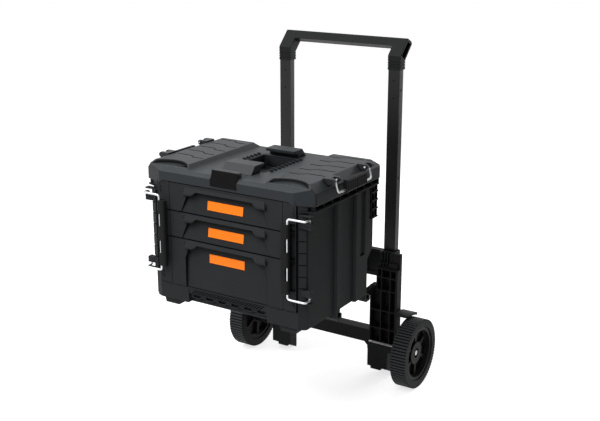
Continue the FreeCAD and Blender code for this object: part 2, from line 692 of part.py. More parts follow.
def box_feet():
    front = box_foot(FOOT_INSET, FOOT_W, FOOT_FRONT_SET - HALF_D)
    rear = box_foot(REAR_FOOT_INSET, REAR_FOOT_W, HALF_D - REAR_STEP - FOOT_SET - FOOT_D)
    return Part.makeCompound(both_sides(front) + both_sides(rear))


def drawer_cage():
    # Inner walls, floor and back that carry the slides, standing on the body's floor.
    low = BODY_BASE_Z + MOULD_WALL
    front = SILL_T - HALF_D
    rear = TRAY_REAR + RAIL_SET
    side = block(BAY_X, BAY_X + CAGE_WALL, front, rear, low, RIM_Z)
    floor = block(-BAY_X, BAY_X, front, rear, SILL_Z - CAGE_WALL, SILL_Z)
    back = block(-BAY_X - CAGE_WALL, BAY_X + CAGE_WALL, rear, rear + CAGE_WALL, low, RIM_Z)
    return joined([floor, back] + both_sides(side))


def hook(y):
    # A hook below a side rib, open upwards at the back.
    x1 = HALF_W + RIB_PROUD
    top = BODY_BASE_Z + HOOK_T
    low = BODY_BASE_Z - HOOK_DROP
    outline = [(y, top), (y, low + HOOK_T), (y + HOOK_T, low), (y + HOOK_REACH - HOOK_T / 2, low),
               (y + HOOK_REACH, low + HOOK_T / 2), (y + HOOK_REACH, low + HOOK_T + HOOK_LIP),
               (y + HOOK_REACH - HOOK_T, low + HOOK_T + HOOK_LIP), (y + HOOK_REACH - HOOK_T, low + HOOK_T),
               (y + HOOK_T + HOOK_T / 2, low + HOOK_T), (y + HOOK_T, low + HOOK_T + HOOK_T / 2),
               (y + HOOK_T, top)]
    return prism_x(outline, x1 - HOOK_W, x1).cut(block(x1 - HOOK_W - OVERRUN, HALF_W, y - OVERRUN,
                                                       y + HOOK_REACH + OVERRUN, BODY_BASE_Z, top + OVERRUN))


def side_ribs():
    # Right-hand side: two upright ribs with hooks, a webbed flange under the lid and a ribbed rear corner.
    x0 = HALF_W
    x1 = HALF_W + RIB_PROUD
    low = BODY_BASE_Z
    y = FRONT_RIB_Y
    half = FRONT_RIB_W / 2
    front = prism_z([(x0, y - half), (x1, y - half + RIB_SLOPE), (x1, y + half - RIB_SLOPE), (x0, y + half)],
                    low, RIM_Z - FLANGE_DROP)
    y = REAR_RIB_Y
    half = REAR_RIB_W / 2
    valley = REAR_RIB_VALLEY / 2
    sunk = x1 - RIB_SLOPE
    step_y = HALF_D - REAR_STEP
    step_top = low + REAR_STEP_H + REAR_STEP
    rear = prism_z([(x0, y - half), (x1, y - half + RIB_SLOPE), (x1, y - valley - RIB_SLOPE),
                    (sunk, y - valley), (sunk, y + valley), (x1, y + valley + RIB_SLOPE),
                    (x1, y + half - RIB_SLOPE), (x0, y + half)], step_top, RIM_Z - FLANGE_DROP)
    rear_low = prism_z([(x0, y - half), (x1, y - half + RIB_SLOPE), (x1, step_y - RIB_SLOPE), (x0, step_y)],
                       low, step_top)
    flange_low = RIM_Z - FLANGE_DROP
    skirt_low = RIM_Z - SKIRT_DROP
    plate = lid_plan(FLANGE_SET, flange_low, flange_low + FLANGE_T).common(
        block(HALF_W - BODY_CORNER_W, LID_W / 2, -LID_D / 2, LID_D / 2, flange_low, RIM_Z)).cut(
        block(-HALF_W, HALF_W, HALF_D - CORNER_RIB_D, LID_D / 2, flange_low, RIM_Z)).cut(body_form(0))
    web_x = LID_W / 2 - FLANGE_SET - WEB_SET
    webs = [block(x0, web_x, web_y, web_y + WEB_T, flange_low, skirt_low)
            for web_y in spread(WEB_COUNT, LID_CORNER_D - LID_D / 2 + WEB_SET, HALF_D - WEB_T)]
    corner_x = HALF_W + CORNER_RIB_OUT
    corner_low = RIM_Z - CORNER_RIB_H
    corner_y = HALF_D - CORNER_RIB_D
    corner_rear = HALF_D + CORNER_RIB_BACK
    corner = [block(x0, corner_x, corner_y, corner_rear, z, z + FLANGE_T)
              for z in spread(CORNER_RIB_COUNT, corner_low, flange_low)]
    posts = [block(x0, corner_x - WEB_T, post_y, post_y + WEB_T, corner_low, flange_low)
             for post_y in spread(3, corner_y, corner_rear - WEB_T)]
    hooks = [hook(FRONT_RIB_Y - FRONT_RIB_W / 2 + RIB_SLOPE), hook(step_y - RIB_SLOPE - HOOK_T)]
    return joined([front, rear, rear_low, plate] + webs + corner + posts + hooks)


def lock_brackets():
    # Right-hand corner: the drawer lock's two pivot brackets, a plate beyond each, and the rail between them.
    x0 = HALF_W - BODY_CORNER_W
    y0 = -HALF_D
    y1 = y0 + BODY_CORNER_D
    r = LOCK_BRACKET_R
    clear = WIRE_BEND + LOCK_BRACKET_CLEAR
    outline = [(x0, y0), (LOCK_X - r, LOCK_Y - r), (LOCK_X + r, LOCK_Y - r), (LOCK_X + r, LOCK_Y + r),
               (HALF_W, y1)]
    upper = prism_z(outline, LOCK_TOP - clear - LOCK_BRACKET_H, LOCK_TOP - clear)
    lower = prism_z(outline, LOCK_LOW + clear, LOCK_LOW + clear + LOCK_BRACKET_H)
    high = LOCK_TOP + LOCK_HOOD_GAP
    low = LOCK_LOW - LOCK_HOOD_GAP
    hoods = [prism_z(outline, high, high + LOCK_HOOD_T), prism_z(outline, low - LOCK_HOOD_T, low)]
    run = math.hypot(BODY_CORNER_W, BODY_CORNER_D)

    def on_chamfer(along, out):
        return (x0 + (along * BODY_CORNER_W + out * BODY_CORNER_D) / run,
                y0 + (along * BODY_CORNER_D - out * BODY_CORNER_W) / run)

    near = LOCK_RAIL_SET
    far = run - near
    rail = prism_z([on_chamfer(near, 0), on_chamfer(near, LOCK_RAIL_T), on_chamfer(far, LOCK_RAIL_T),
                    on_chamfer(far, 0)], low, high)
    deep = LOCK_RAIL_T - LOCK_TICK
    beyond = LOCK_RAIL_T + OVERRUN
    tick_plan = [on_chamfer(0, deep), on_chamfer(0, beyond), on_chamfer(run, beyond), on_chamfer(run, deep)]
    ticks = [prism_z(tick_plan, z, z + LOCK_TICK)
             for z in spread(LOCK_RAIL_TICKS, LOCK_LOW + LOCK_TICK_MARGIN, LOCK_TOP - LOCK_TICK_MARGIN)]
    bore = bar_z(WIRE_R + PIN_GAP, LOCK_X, LOCK_Y, LOCK_LOW, LOCK_TOP)
    return less(joined([upper, lower, rail.cut(ticks)] + hoods), [bore])


def lock_wire():
    # Right-hand drawer lock: a wire bail that swings about an upright axis at the corner.
    return bent_wire([Vector(LOCK_X, LOCK_Y, LOCK_TOP - STUB_L), Vector(LOCK_X, LOCK_Y, LOCK_TOP),
                      Vector(LOCK_X, WIRE_Y, LOCK_TOP), Vector(WIRE_X, WIRE_Y, LOCK_TOP),
                      Vector(WIRE_X, WIRE_Y, LOCK_LOW), Vector(LOCK_X, WIRE_Y, LOCK_LOW),
                      Vector(LOCK_X, LOCK_Y, LOCK_LOW), Vector(LOCK_X, LOCK_Y, LOCK_LOW + STUB_L)],
                     WIRE_R, WIRE_BEND)


def octagon(radius, lean):
    # Corners of the snug eight-sided hole for a wire.
    turns = [lean + 2 * math.pi * k / WIRE_SIDES for k in range(WIRE_SIDES)]
    return [(radius * math.cos(turn), radius * math.sin(turn)) for turn in turns]


def lock_sleeve():
    # Moulded grip on the upright run, with two windows that show the wire.
    x0 = WIRE_X - SLEEVE_W * SLEEVE_IN_SHARE
    x1 = x0 + SLEEVE_W
    y0 = WIRE_Y - SLEEVE_T / 2
    y1 = WIRE_Y + SLEEVE_T / 2
    low = LOCK_LOW + SLEEVE_END
    high = LOCK_TOP - SLEEVE_END
    ease = TRIM_CHAMFER
    plan = [(x0, y0 + ease), (x0 + ease, y0), (x1 - ease, y0), (x1, y0 + ease), (x1, y1), (x0, y1)]
    bore = prism_z([(WIRE_X + px, WIRE_Y + py) for px, py in octagon(WIRE_R + PIN_GAP, 0)],
                   low - OVERRUN, high + OVERRUN)
    windows = []
    for share in WINDOW_PLACE_SHARES:
        z = low + (high - low) * share
        windows.append(block(WIRE_X - WINDOW_W / 2, WIRE_X + WINDOW_W / 2, y0 - OVERRUN, WIRE_Y,
                             z - WINDOW_H / 2, z + WINDOW_H / 2))
    return less(prism_z(plan, low, high), [bore] + windows)


def stack_wire():
    # Right-hand stacking latch: a wire bail that hangs beside the lid's skirt.
    front = STACK_Y - STACK_SPAN / 2
    rear = STACK_Y + STACK_SPAN / 2
    low_x = STACK_X + STACK_LEAN
    low_z = STACK_Z - STACK_DROP
    return bent_wire([Vector(STACK_X, front + STACK_STUB, STACK_Z), Vector(STACK_X, front, STACK_Z),
                      Vector(low_x, front, low_z), Vector(low_x, rear, low_z),
                      Vector(STACK_X, rear, STACK_Z), Vector(STACK_X, rear - STACK_STUB, STACK_Z)],
                     WIRE_R, WIRE_BEND)


def stack_paddle():
    # Ribbed grip on the bail's lower run.
    x = STACK_X + STACK_LEAN
    z = STACK_Z - STACK_DROP
    y0 = STACK_Y - PADDLE_L / 2
    y1 = STACK_Y + PADDLE_L / 2
    half = PADDLE_T / 2
    low = z - PADDLE_BELOW
    high = low + PADDLE_H
    ease = TRIM_CHAMFER
    section = [(x - half, low + ease), (x - half + ease, low), (x + half - ease, low), (x + half, low + ease),
               (x + half, high - ease), (x + half - ease, high), (x - half, high)]
    lines = [block(x + half - PADDLE_RIB, x + half + OVERRUN, y, y + PADDLE_RIB * 2, low + ease, high - ease)
             for y in spread(PADDLE_RIB_COUNT, y0 + ease, y1 - ease - PADDLE_RIB * 2)]
    lean = math.atan2(STACK_LEAN, STACK_DROP)
    bore = prism_y([(x + px, z + pz) for px, pz in octagon(WIRE_R + PIN_GAP, lean)],
                   y0 - OVERRUN, y1 + OVERRUN)
    return less(prism_y(section, y0, y1), lines + [bore])


def stack_brackets():
    # Four forked eyes on the lid's side slopes: a bail's leg swings in each fork.
    slope = [(LID_W / 2 - LID_SIDE_RUN * t, SKIRT_TOP + PLATEAU_RISE * t) for t in STACK_SEAT_SHARES]
    eye = STACK_BRACKET_EYE
    top = STACK_Z + eye
    x1 = STACK_X + eye
    outline = [slope[0], slope[1], (slope[1][0], top), (x1 - TRIM_CHAMFER, top), (x1, top - TRIM_CHAMFER),
               (x1, STACK_Z - eye + TRIM_CHAMFER), (x1 - TRIM_CHAMFER, STACK_Z - eye)]
    eyes = []
    for end in (-1, 1):
        leg = STACK_Y + end * STACK_SPAN / 2
        y0 = leg - STACK_BRACKET_W / 2
        y1 = leg + STACK_BRACKET_W / 2
        slot = sorted((leg - end * STACK_SLOT_IN, leg + end * STACK_SLOT_OUT))
        swing = block(STACK_X - eye, x1 + OVERRUN, slot[0], slot[1], STACK_Z - eye - OVERRUN, top + OVERRUN)
        reach = sorted((leg, leg - end * STACK_BRACKET_W))
        bore = bar_y(WIRE_R + PIN_GAP, STACK_X, STACK_Z, reach[0], reach[1])
        eyes += both_sides(prism_y(outline, y0, y1).cut([bore, swing]))
    return Part.makeCompound(eyes)


def field_y(low, hang, deep, z):
    # The sloping label field: deepest under the lip, nearly flush at the drawer's lower edge.
    bottom = low + DRAWER_GAP / 2
    top = hang - LIP_TOP - LIP_H + NOTCH_RISE
    shallow = PANEL_LOW_DEEP if deep else RECESS_LOW_DEEP
    return JAMB_Y + shallow + (RECESS_DEEP - shallow) * (z - bottom) / (top - bottom)


def drawer_front(low, high, hang, deep):
    # A drawer front with a sunk label field under an overhanging finger lip.
    z0 = low + DRAWER_GAP / 2
    z1 = high - DRAWER_GAP / 2
    lip_top = hang - LIP_TOP
    lip_low = lip_top - LIP_H
    lip_mid = lip_low + NOTCH_RISE
    wide = LIP_W / 2
    narrow = wide - LIP_TAPER
    field_top = narrow - RECESS_IN
    field_low = (PANEL_W if deep else RECESS_LOW_W) / 2
    widest = lip_low - PANEL_LEAN_H if deep else z0
    slab = block(-DRAWER_FRONT_X, DRAWER_FRONT_X, JAMB_Y, TRAY_FRONT, z0, z1)
    wedge = prism_x([(JAMB_Y - OVERRUN, lip_mid), (field_y(low, hang, deep, lip_mid), lip_mid),
                     (field_y(low, hang, deep, z0), z0), (JAMB_Y - OVERRUN, z0)], -BAY_X, BAY_X)
    right = [(field_top, lip_mid), (field_top, lip_low), (field_low, widest), (field_low, z0 - OVERRUN)]
    sides = prism_y(right + [(-x, z) for x, z in reversed(right)], JAMB_Y - OVERRUN, TRAY_FRONT)
    lip = prism_x([(JAMB_Y, lip_top), (JAMB_Y - LIP_OUT, lip_low + LIP_EDGE), (JAMB_Y - LIP_OUT, lip_low),
                   (JAMB_Y + LIP_T, lip_low), (JAMB_Y + LIP_T, lip_top)], -wide, wide)
    ends = prism_y([(-wide, lip_low), (wide, lip_low), (narrow, lip_top), (-narrow, lip_top)],
                   JAMB_Y - LIP_OUT, JAMB_Y + LIP_T)
    half = NOTCH_W / 2
    notch = prism_y([(-half, lip_low - OVERRUN), (half, lip_low - OVERRUN), (half, lip_low),
                     (half - NOTCH_RUN, lip_mid), (NOTCH_RUN - half, lip_mid), (-half, lip_low)],
                    JAMB_Y - LIP_OUT - OVERRUN, JAMB_Y + LIP_T)
    return joined([slab.cut(wedge.common(sides)), lip.common(ends).cut(notch)])


def drawer_label(low, hang, deep):
    # A thin plate that lies on the sloping field.
    z1 = hang - LABEL_DROP
    z0 = z1 - LABEL_H
    y1 = field_y(low, hang, deep, z1)
    y0 = field_y(low, hang, deep, z0)
    return prism_x([(y0, z0), (y1, z1), (y1 - LABEL_T, z1), (y0 - LABEL_T, z0)], -LABEL_W / 2, LABEL_W / 2)


def drawer_tray(low, high):
    z0 = low + TRAY_FLOOR_RISE
    z1 = high - TRAY_TOP_DROP
    wall = TRAY_WALL
    tub = block(-TRAY_X, TRAY_X, TRAY_FRONT, TRAY_REAR, z0, z1)
    return tub.cut(block(wall - TRAY_X, TRAY_X - wall, TRAY_FRONT + wall, TRAY_REAR - wall,
                         z0 + wall, z1 + OVERRUN))


def rail_z(low, high):
    return (low + TRAY_FLOOR_RISE + high - TRAY_TOP_DROP) / 2


def drawer_rails(low, high):
    z = rail_z(low, high)
    rail = block(TRAY_X, TRAY_X + RAIL_T, TRAY_FRONT + RAIL_SET, TRAY_REAR - RAIL_SET,
                 z - RAIL_H / 2, z + RAIL_H / 2)
    return Part.makeCompound(both_sides(rail))


def outer_rails(spans):
    # Channels on the cage's walls, one pair to each drawer.
    rails = []
    for low, high in spans:
        z = rail_z(low, high)
        inside = RAIL_H / 2 + RUN_GAP
        outside = inside + CHANNEL_LIP
        web = TRAY_X + RAIL_T + RUN_GAP
        tip = TRAY_X + RUN_GAP
        outline = [(BAY_X, z - outside), (BAY_X, z + outside), (tip, z + outside), (tip, z + inside),
                   (web, z + inside), (web, z - inside), (tip, z - inside), (tip, z - outside)]
        rails += both_sides(prism_y(outline, SILL_T - HALF_D, TRAY_REAR))
    return Part.makeCompound(rails)


def frame_screws():
    # Pairs of screw heads at the ends of both jambs.
    heads = []
    x = JAMB_X - SCREW_EDGE
    low = SILL_Z + SCREW_END
    high = RIM_Z - SCREW_END
    for z in (low, low + SCREW_PITCH, high - SCREW_PITCH, high):
        heads += both_sides(hexagon_y(SCREW_AF, x, z, JAMB_Y - SCREW_T, JAMB_Y))
    return Part.makeCompound(heads)


def grid_cells(left, z0, z1):
    # The open cells of one row of the ribbed panel, from its left edge.
    right = TOWER_OUT_X - PANEL_SIDE
    ribs = [PANEL_IN_X + (right - PANEL_IN_X) * share for share in GRID_COLUMN_SHARES]
    return [block(x0 + GRID_RIB, x1, PANEL_Y - OVERRUN, PANEL_Y + GRID_DEEP, z0, z1)
            for x0, x1 in zip([left] + ribs, ribs + [right])]


def tube_bore():
    # The right-hand tube's way through tower and foot.
    return block(TUBE_IN_X - TUBE_GAP, TUBE_OUT_X + TUBE_GAP, TUBE_Y - TUBE_GAP, TUBE_Y + TUBE_D + TUBE_GAP,
                 HEEL_FLOOR, TOWER_TOP_Z + OVERRUN)


def foot():
    # Right-hand foot under the tower: it stands on its heel, and its sole rises towards the front.
    x1 = TOWER_OUT_X - HEEL_OUT
    front = TOE_Y + HEEL_SET
    sole = [(front, TOWER_LOW_Z), (HOUSING_REAR, TOWER_LOW_Z), (HOUSING_REAR, 0), (HOUSING_REAR - HEEL_D, 0),
            (front, HEEL_RISE)]
    tab_x = PANEL_IN_X + TAB_SET
    tab = [(front, HEEL_RISE + TAB_H), (front, HEEL_RISE - TAB_H),
           (front + TAB_D, HEEL_RISE - TAB_H), (front + TAB_D, HEEL_RISE)]
    solid = joined([prism_x(sole, PANEL_IN_X, x1), prism_x(tab, tab_x, tab_x + TAB_W)])
    waist = block(PANEL_IN_X - OVERRUN, TOWER_IN_X, HOUSING_Y, HOUSING_REAR + OVERRUN,
                  -OVERRUN, TOWER_LOW_Z + OVERRUN)
    return less(solid, [tube_bore(), waist])


def tower():
    # Right-hand tower: a tube housing behind an open ribbed panel, with a hooked lug and an axle block.
    neck_x = TOWER_IN_X
    panel_top = TOWER_TOP_Z - PANEL_TOP
    lug_top = TOWER_TOP_Z - LUG_TOP
    neck_y = HOUSING_Y - NECK_T
    housing = block(TOWER_IN_X, HOUSING_OUT_X, HOUSING_Y, HOUSING_REAR, TOWER_LOW_Z, TOWER_TOP_Z)
    panel = prism_y([(PANEL_IN_X, TOE_TOP), (PANEL_IN_X, lug_top), (neck_x, lug_top), (neck_x, panel_top),
                     (TOWER_OUT_X, panel_top), (TOWER_OUT_X, TOE_TOP)], PANEL_Y, HOUSING_Y)
    neck = block(neck_x, TOWER_OUT_X, neck_y, HOUSING_Y, panel_top, TOWER_TOP_Z)
    ledge = block(neck_x, TOWER_OUT_X - PANEL_SIDE, neck_y - LEDGE_T, neck_y, panel_top, panel_top + LEDGE_H)
    toe = block(PANEL_IN_X, TOWER_OUT_X, TOE_Y, HOUSING_Y, TOWER_LOW_Z, TOE_TOP)
    tools = [tube_bore(), bar_x(AXLE_R, AXLE_Y, AXLE_Z, PANEL_IN_X - OVERRUN, TOWER_OUT_X + OVERRUN)]
    rise = panel_top - TOE_TOP
    rows = [TOE_TOP + rise * share for share in GRID_ROW_SHARES]
    for z0, z1 in zip(rows, rows[1:]):
        left = PANEL_IN_X if z1 < lug_top else neck_x
        tools += grid_cells(left, z0, z1 - GRID_RIB)
    flute_half = FLUTE_PITCH * (FLUTE_COUNT - 1) / 2
    for x in spread(FLUTE_COUNT, TUBE_X - flute_half, TUBE_X + flute_half):
        x0 = x - FLUTE_W / 2
        x1 = x + FLUTE_W / 2
        ledge_y = neck_y - LEDGE_T
        lower = block(x0, x1, ledge_y - OVERRUN, ledge_y + FLUTE_DEEP,
                      panel_top + GRID_RIB, panel_top + LEDGE_H)
        upper = block(x0, x1, neck_y - OVERRUN, neck_y + FLUTE_DEEP,
                      panel_top + LEDGE_H, TOWER_TOP_Z + OVERRUN)
        tools += [lower, upper]
    open_tower = less(joined([housing, panel, neck, ledge, toe]), tools)
    tip_y = PANEL_Y - LUG_REACH
    root_y = PANEL_Y + GRID_RIB * 2
    lip_y = tip_y + LUG_LIP_T
    lug = prism_x([(root_y, lug_top), (lip_y, lug_top - TRIM_CHAMFER),
                   (tip_y, lug_top - TRIM_CHAMFER - LUG_LIP_T), (tip_y, lug_top - LUG_LIP_H),
                   (lip_y, lug_top - LUG_LIP_H), (lip_y, lug_top - LUG_H - TRIM_CHAMFER),
                   (root_y, lug_top - LUG_H)], PANEL_IN_X, PANEL_IN_X + LUG_W)
    return joined([open_tower, lug])


def wheel_guard():
    # Right-hand guard: an arched strip over the wheel's inner half, on the tower's outer side.
    r0 = WHEEL_R + GUARD_CLEAR
    r1 = r0 + GUARD_T
    x0 = TOWER_OUT_X
    x1 = x0 + GUARD_REACH

    def at(radius, degrees):
        a = math.radians(degrees)
        return Vector(x0, AXLE_Y + radius * math.cos(a), AXLE_Z + radius * math.sin(a))

    middle = (GUARD_FROM_DEG + GUARD_TO_DEG) / 2
    edges = [Part.Arc(at(r1, GUARD_FROM_DEG), at(r1, middle), at(r1, GUARD_TO_DEG)).toShape(),
             Part.LineSegment(at(r1, GUARD_TO_DEG), at(r0, GUARD_TO_DEG)).toShape(),
             Part.Arc(at(r0, GUARD_TO_DEG), at(r0, middle), at(r0, GUARD_FROM_DEG)).toShape(),
             Part.LineSegment(at(r0, GUARD_FROM_DEG), at(r1, GUARD_FROM_DEG)).toShape()]
    return Part.Face(Part.Wire(edges)).extrude(Vector(x1 - x0, 0, 0))


def upper_cross_member():
    # A ribbed panel between the two towers, behind the load carrier.
    top = CROSS_Z + CROSS_H
    rear = CROSS_Y + CROSS_D
    bar = block(-TOWER_IN_X, TOWER_IN_X, CROSS_Y, rear, CROSS_Z, top)
    edge = CROSS_PANEL_EDGE
    sunk_x = TOWER_IN_X - edge
    plate_x = ARM_X + ARM_W / 2 + edge
    sunk = block(plate_x, sunk_x, CROSS_Y - OVERRUN, CROSS_Y + CROSS_PANEL_DEEP, CROSS_Z + edge, top - edge)
    back = block(-sunk_x, sunk_x, rear - CROSS_PANEL_DEEP, rear + OVERRUN, CROSS_Z + edge, top - edge)
    return less(bar, both_sides(sunk) + [back])


def lower_cross_beam():
    # A beam between the towers, open and ribbed at the back, with gussets at its ends.
    half = PANEL_IN_X
    y0 = PANEL_Y
    y1 = PANEL_Y + BEAM_D
    top = BEAM_Z + BEAM_H
    low = BEAM_Z - BEAM_GUSSET
    outline = [(-half, low), (-half, top), (half, top), (half, low), (half - BEAM_GUSSET, BEAM_Z),
               (BEAM_GUSSET - half, BEAM_Z)]
    beam = prism_y(outline, y0, y1)
    edge = BEAM_RIB_T
    ribs = spread(BEAM_RIB_COUNT, BEAM_GUSSET - half, half - BEAM_GUSSET)
    cells = [block(left + edge / 2, right - edge / 2, y1 - BEAM_POCKET_DEEP, y1 + OVERRUN,
                   BEAM_Z + edge, top - edge)
             for left, right in zip(ribs, ribs[1:])]
    return less(beam, cells)


def load_carrier():
    # Two tapered arms on a back plate: the box stands on them, clear ahead of the towers.
    top = BODY_BASE_Z
    plate_low = CROSS_Z + BACK_PLATE_EDGE
    plate_high = CROSS_Z + CROSS_H - BACK_PLATE_EDGE
    bend = CROSS_Y - ARM_BEND_AHEAD
    outline = [(CROSS_Y, plate_low), (CROSS_Y, plate_high), (CROSS_Y - ARM_BAR_D, plate_high), (bend, top),
               (ARM_FRONT, top), (ARM_FRONT, top - ARM_TIP_H),
               (ARM_FRONT + ARM_TIP_SLOPE, top - ARM_TIP_H - TRIM_CHAMFER), (bend, top - ARM_ROOT_H)]
    arm = prism_x(outline, ARM_X - ARM_W / 2, ARM_X + ARM_W / 2)
    plate = block(-ARM_X, ARM_X, CROSS_Y - BACK_PLATE_T, CROSS_Y, plate_low, plate_high)
    bar_y0 = ARM_FRONT + ARM_BAR_SET
    bar = block(-ARM_X, ARM_X, bar_y0, bar_y0 + ARM_BAR_D, top - ARM_TIP_H, top)
    return joined([plate, bar] + both_sides(arm))


def hexagon_y(flats, x, z, y0, y1):
    r = flats / math.sqrt(3)
    corners = [(x + r * math.cos(math.pi * k / 3), z + r * math.sin(math.pi * k / 3)) for k in range(6)]
    return prism_y(corners, y0, y1)


def carrier_bolts():
    y1 = CROSS_Y - BACK_PLATE_T
    bolts = []
    for z in (CROSS_Z + BOLT_EDGE, CROSS_Z + CROSS_H - BOLT_EDGE):
        bolts += both_sides(hexagon_y(BOLT_AF, BOLT_X, z, y1 - BOLT_H, y1))
    return Part.makeCompound(bolts)


def round_the_axle(turn, radius):
    # (y, z) of a point at that turn from straight down.
    return AXLE_Y + radius * math.sin(turn), AXLE_Z - radius * math.cos(turn)


def many_sided(sides, radius, x0, x1):
    # A many-sided disc about the axle, with its flats at that radius.
    step = 2 * math.pi / sides
    corner = radius / math.cos(step / 2)
    return prism_x([round_the_axle(step * k, corner) for k in range(sides)], x0, x1)


def tread_outline():
    # (y, z) points round the tyre: a flat crest and a flat root to each cross bar.
    crest = TREAD_STEP * TREAD_CREST_SHARE / 2
    root = TREAD_STEP * TREAD_ROOT_SHARE / 2
    root_r = WHEEL_R - TREAD_DEEP
    outline = []
    for k in range(TREAD_COUNT):
        for angle, r in ((-root, root_r), (-crest, WHEEL_R), (crest, WHEEL_R), (root, root_r)):
            outline.append(round_the_axle(TREAD_STEP * k + angle, r))
    return outline


def tyre():
    # Right-hand tyre: straight cross bars all round.
    body = prism_x(tread_outline(), WHEEL_IN_X, WHEEL_OUT_X)
    return body.cut(many_sided(RIM_SIDES, WHEEL_R - TYRE_T, WHEEL_IN_X - OVERRUN, WHEEL_OUT_X + OVERRUN))


def hub():
    # Right-hand hub: rim, sunk disc with pockets on both sides, and a long boss.
    rim_r = WHEEL_R - TYRE_T
    in_r = rim_r - RIM_T
    x0 = WHEEL_IN_X + RIM_SET
    x1 = WHEEL_OUT_X - RIM_SET
    disc1 = WHEEL_OUT_X - WEB_DISC_SET
    disc0 = disc1 - WEB_DISC_T
    boss0 = TOWER_OUT_X + RUN_GAP
    boss1 = WHEEL_OUT_X - BOSS_SET
    hollows = [many_sided(RIM_SIDES, in_r, x0 - OVERRUN, disc0),
               many_sided(RIM_SIDES, in_r, disc1, x1 + OVERRUN),
               many_sided(RIM_SIDES, WASHER_R + BUSH_T, boss1, x1)]
    boss = many_sided(RIM_SIDES, BOSS_R, boss0, boss1)
    half = math.pi / POCKET_COUNT * POCKET_ANGLE_SHARE
    pockets = []
    for k in range(POCKET_COUNT):
        middle = math.pi * (2 * k + 1) / POCKET_COUNT
        corners = [round_the_axle(middle + angle, radius) for radius, angle in (
            (BOSS_R + POCKET_IN, -half), (in_r - POCKET_RIM, -half), (in_r, 0),
            (in_r - POCKET_RIM, half), (BOSS_R + POCKET_IN, half))]
        pockets.append(prism_x(corners, disc1 - POCKET_DEEP, disc1 + OVERRUN))
        pockets.append(prism_x(corners, disc0 - OVERRUN, disc0 + POCKET_DEEP))
    bore = many_sided(ROUND_SIDES, AXLE_R + BUSH_T, boss0 - OVERRUN, boss1 + OVERRUN)
    wheel = less(many_sided(RIM_SIDES, rim_r, x0, x1), hollows + pockets)
    return joined([wheel, boss]).cut(bore)


def wheel_bush():
    # Plain bearing pressed into the boss.
    x0 = TOWER_OUT_X + RUN_GAP
    x1 = WHEEL_OUT_X - BOSS_SET
    bore = bar_x(AXLE_R + PIN_GAP, AXLE_Y, AXLE_Z, x0 - OVERRUN, x1 + OVERRUN)
    return many_sided(ROUND_SIDES, AXLE_R + BUSH_T, x0, x1).cut(bore)


def washer_x():
    return WHEEL_OUT_X - BOSS_SET + RUN_GAP


def axle():
    return bar_x(AXLE_R, AXLE_Y, AXLE_Z, PANEL_IN_X, washer_x() + WASHER_T)


def axle_washer():
    x0 = washer_x()
    x1 = x0 + WASHER_T
    return many_sided(ROUND_SIDES, WASHER_R, x0, x1).cut(many_sided(ROUND_SIDES, AXLE_R, x0, x1))


def axle_nut():
    # A closed hexagon cap on the axle's end.
    x0 = washer_x() + WASHER_T
    return many_sided(6, NUT_AF / 2, x0, x0 + NUT_H)


def handle_tube():
    # Right-hand tube: thin rectangular section with small holes near its top.
    top = GRIP_LOW_Z + GRIP_SOCKET
    y1 = TUBE_Y + TUBE_D
    wall = TUBE_WALL
    tube = block(TUBE_IN_X, TUBE_OUT_X, TUBE_Y, y1, TUBE_LOW_Z, top)
    tools = [block(TUBE_IN_X + wall, TUBE_OUT_X - wall, TUBE_Y + wall, y1 - wall,
                   TUBE_LOW_Z - OVERRUN, top + OVERRUN)]
    for drop in TUBE_HOLE_DROPS:
        z = GRIP_LOW_Z - drop
        tools.append(hexagon_y(TUBE_HOLE_R * 2, TUBE_X, z, TUBE_Y - OVERRUN, TUBE_Y + wall + OVERRUN))
    mid_y = TUBE_Y + TUBE_D / 2
    for drop in TUBE_SLOT_DROPS:
        z = GRIP_LOW_Z - drop
        tools.append(block(TUBE_OUT_X - wall - OVERRUN, TUBE_OUT_X + OVERRUN, mid_y - TUBE_SLOT_W / 2,
                           mid_y + TUBE_SLOT_W / 2, z - TUBE_SLOT_H / 2, z + TUBE_SLOT_H / 2))
    return less(tube, tools)


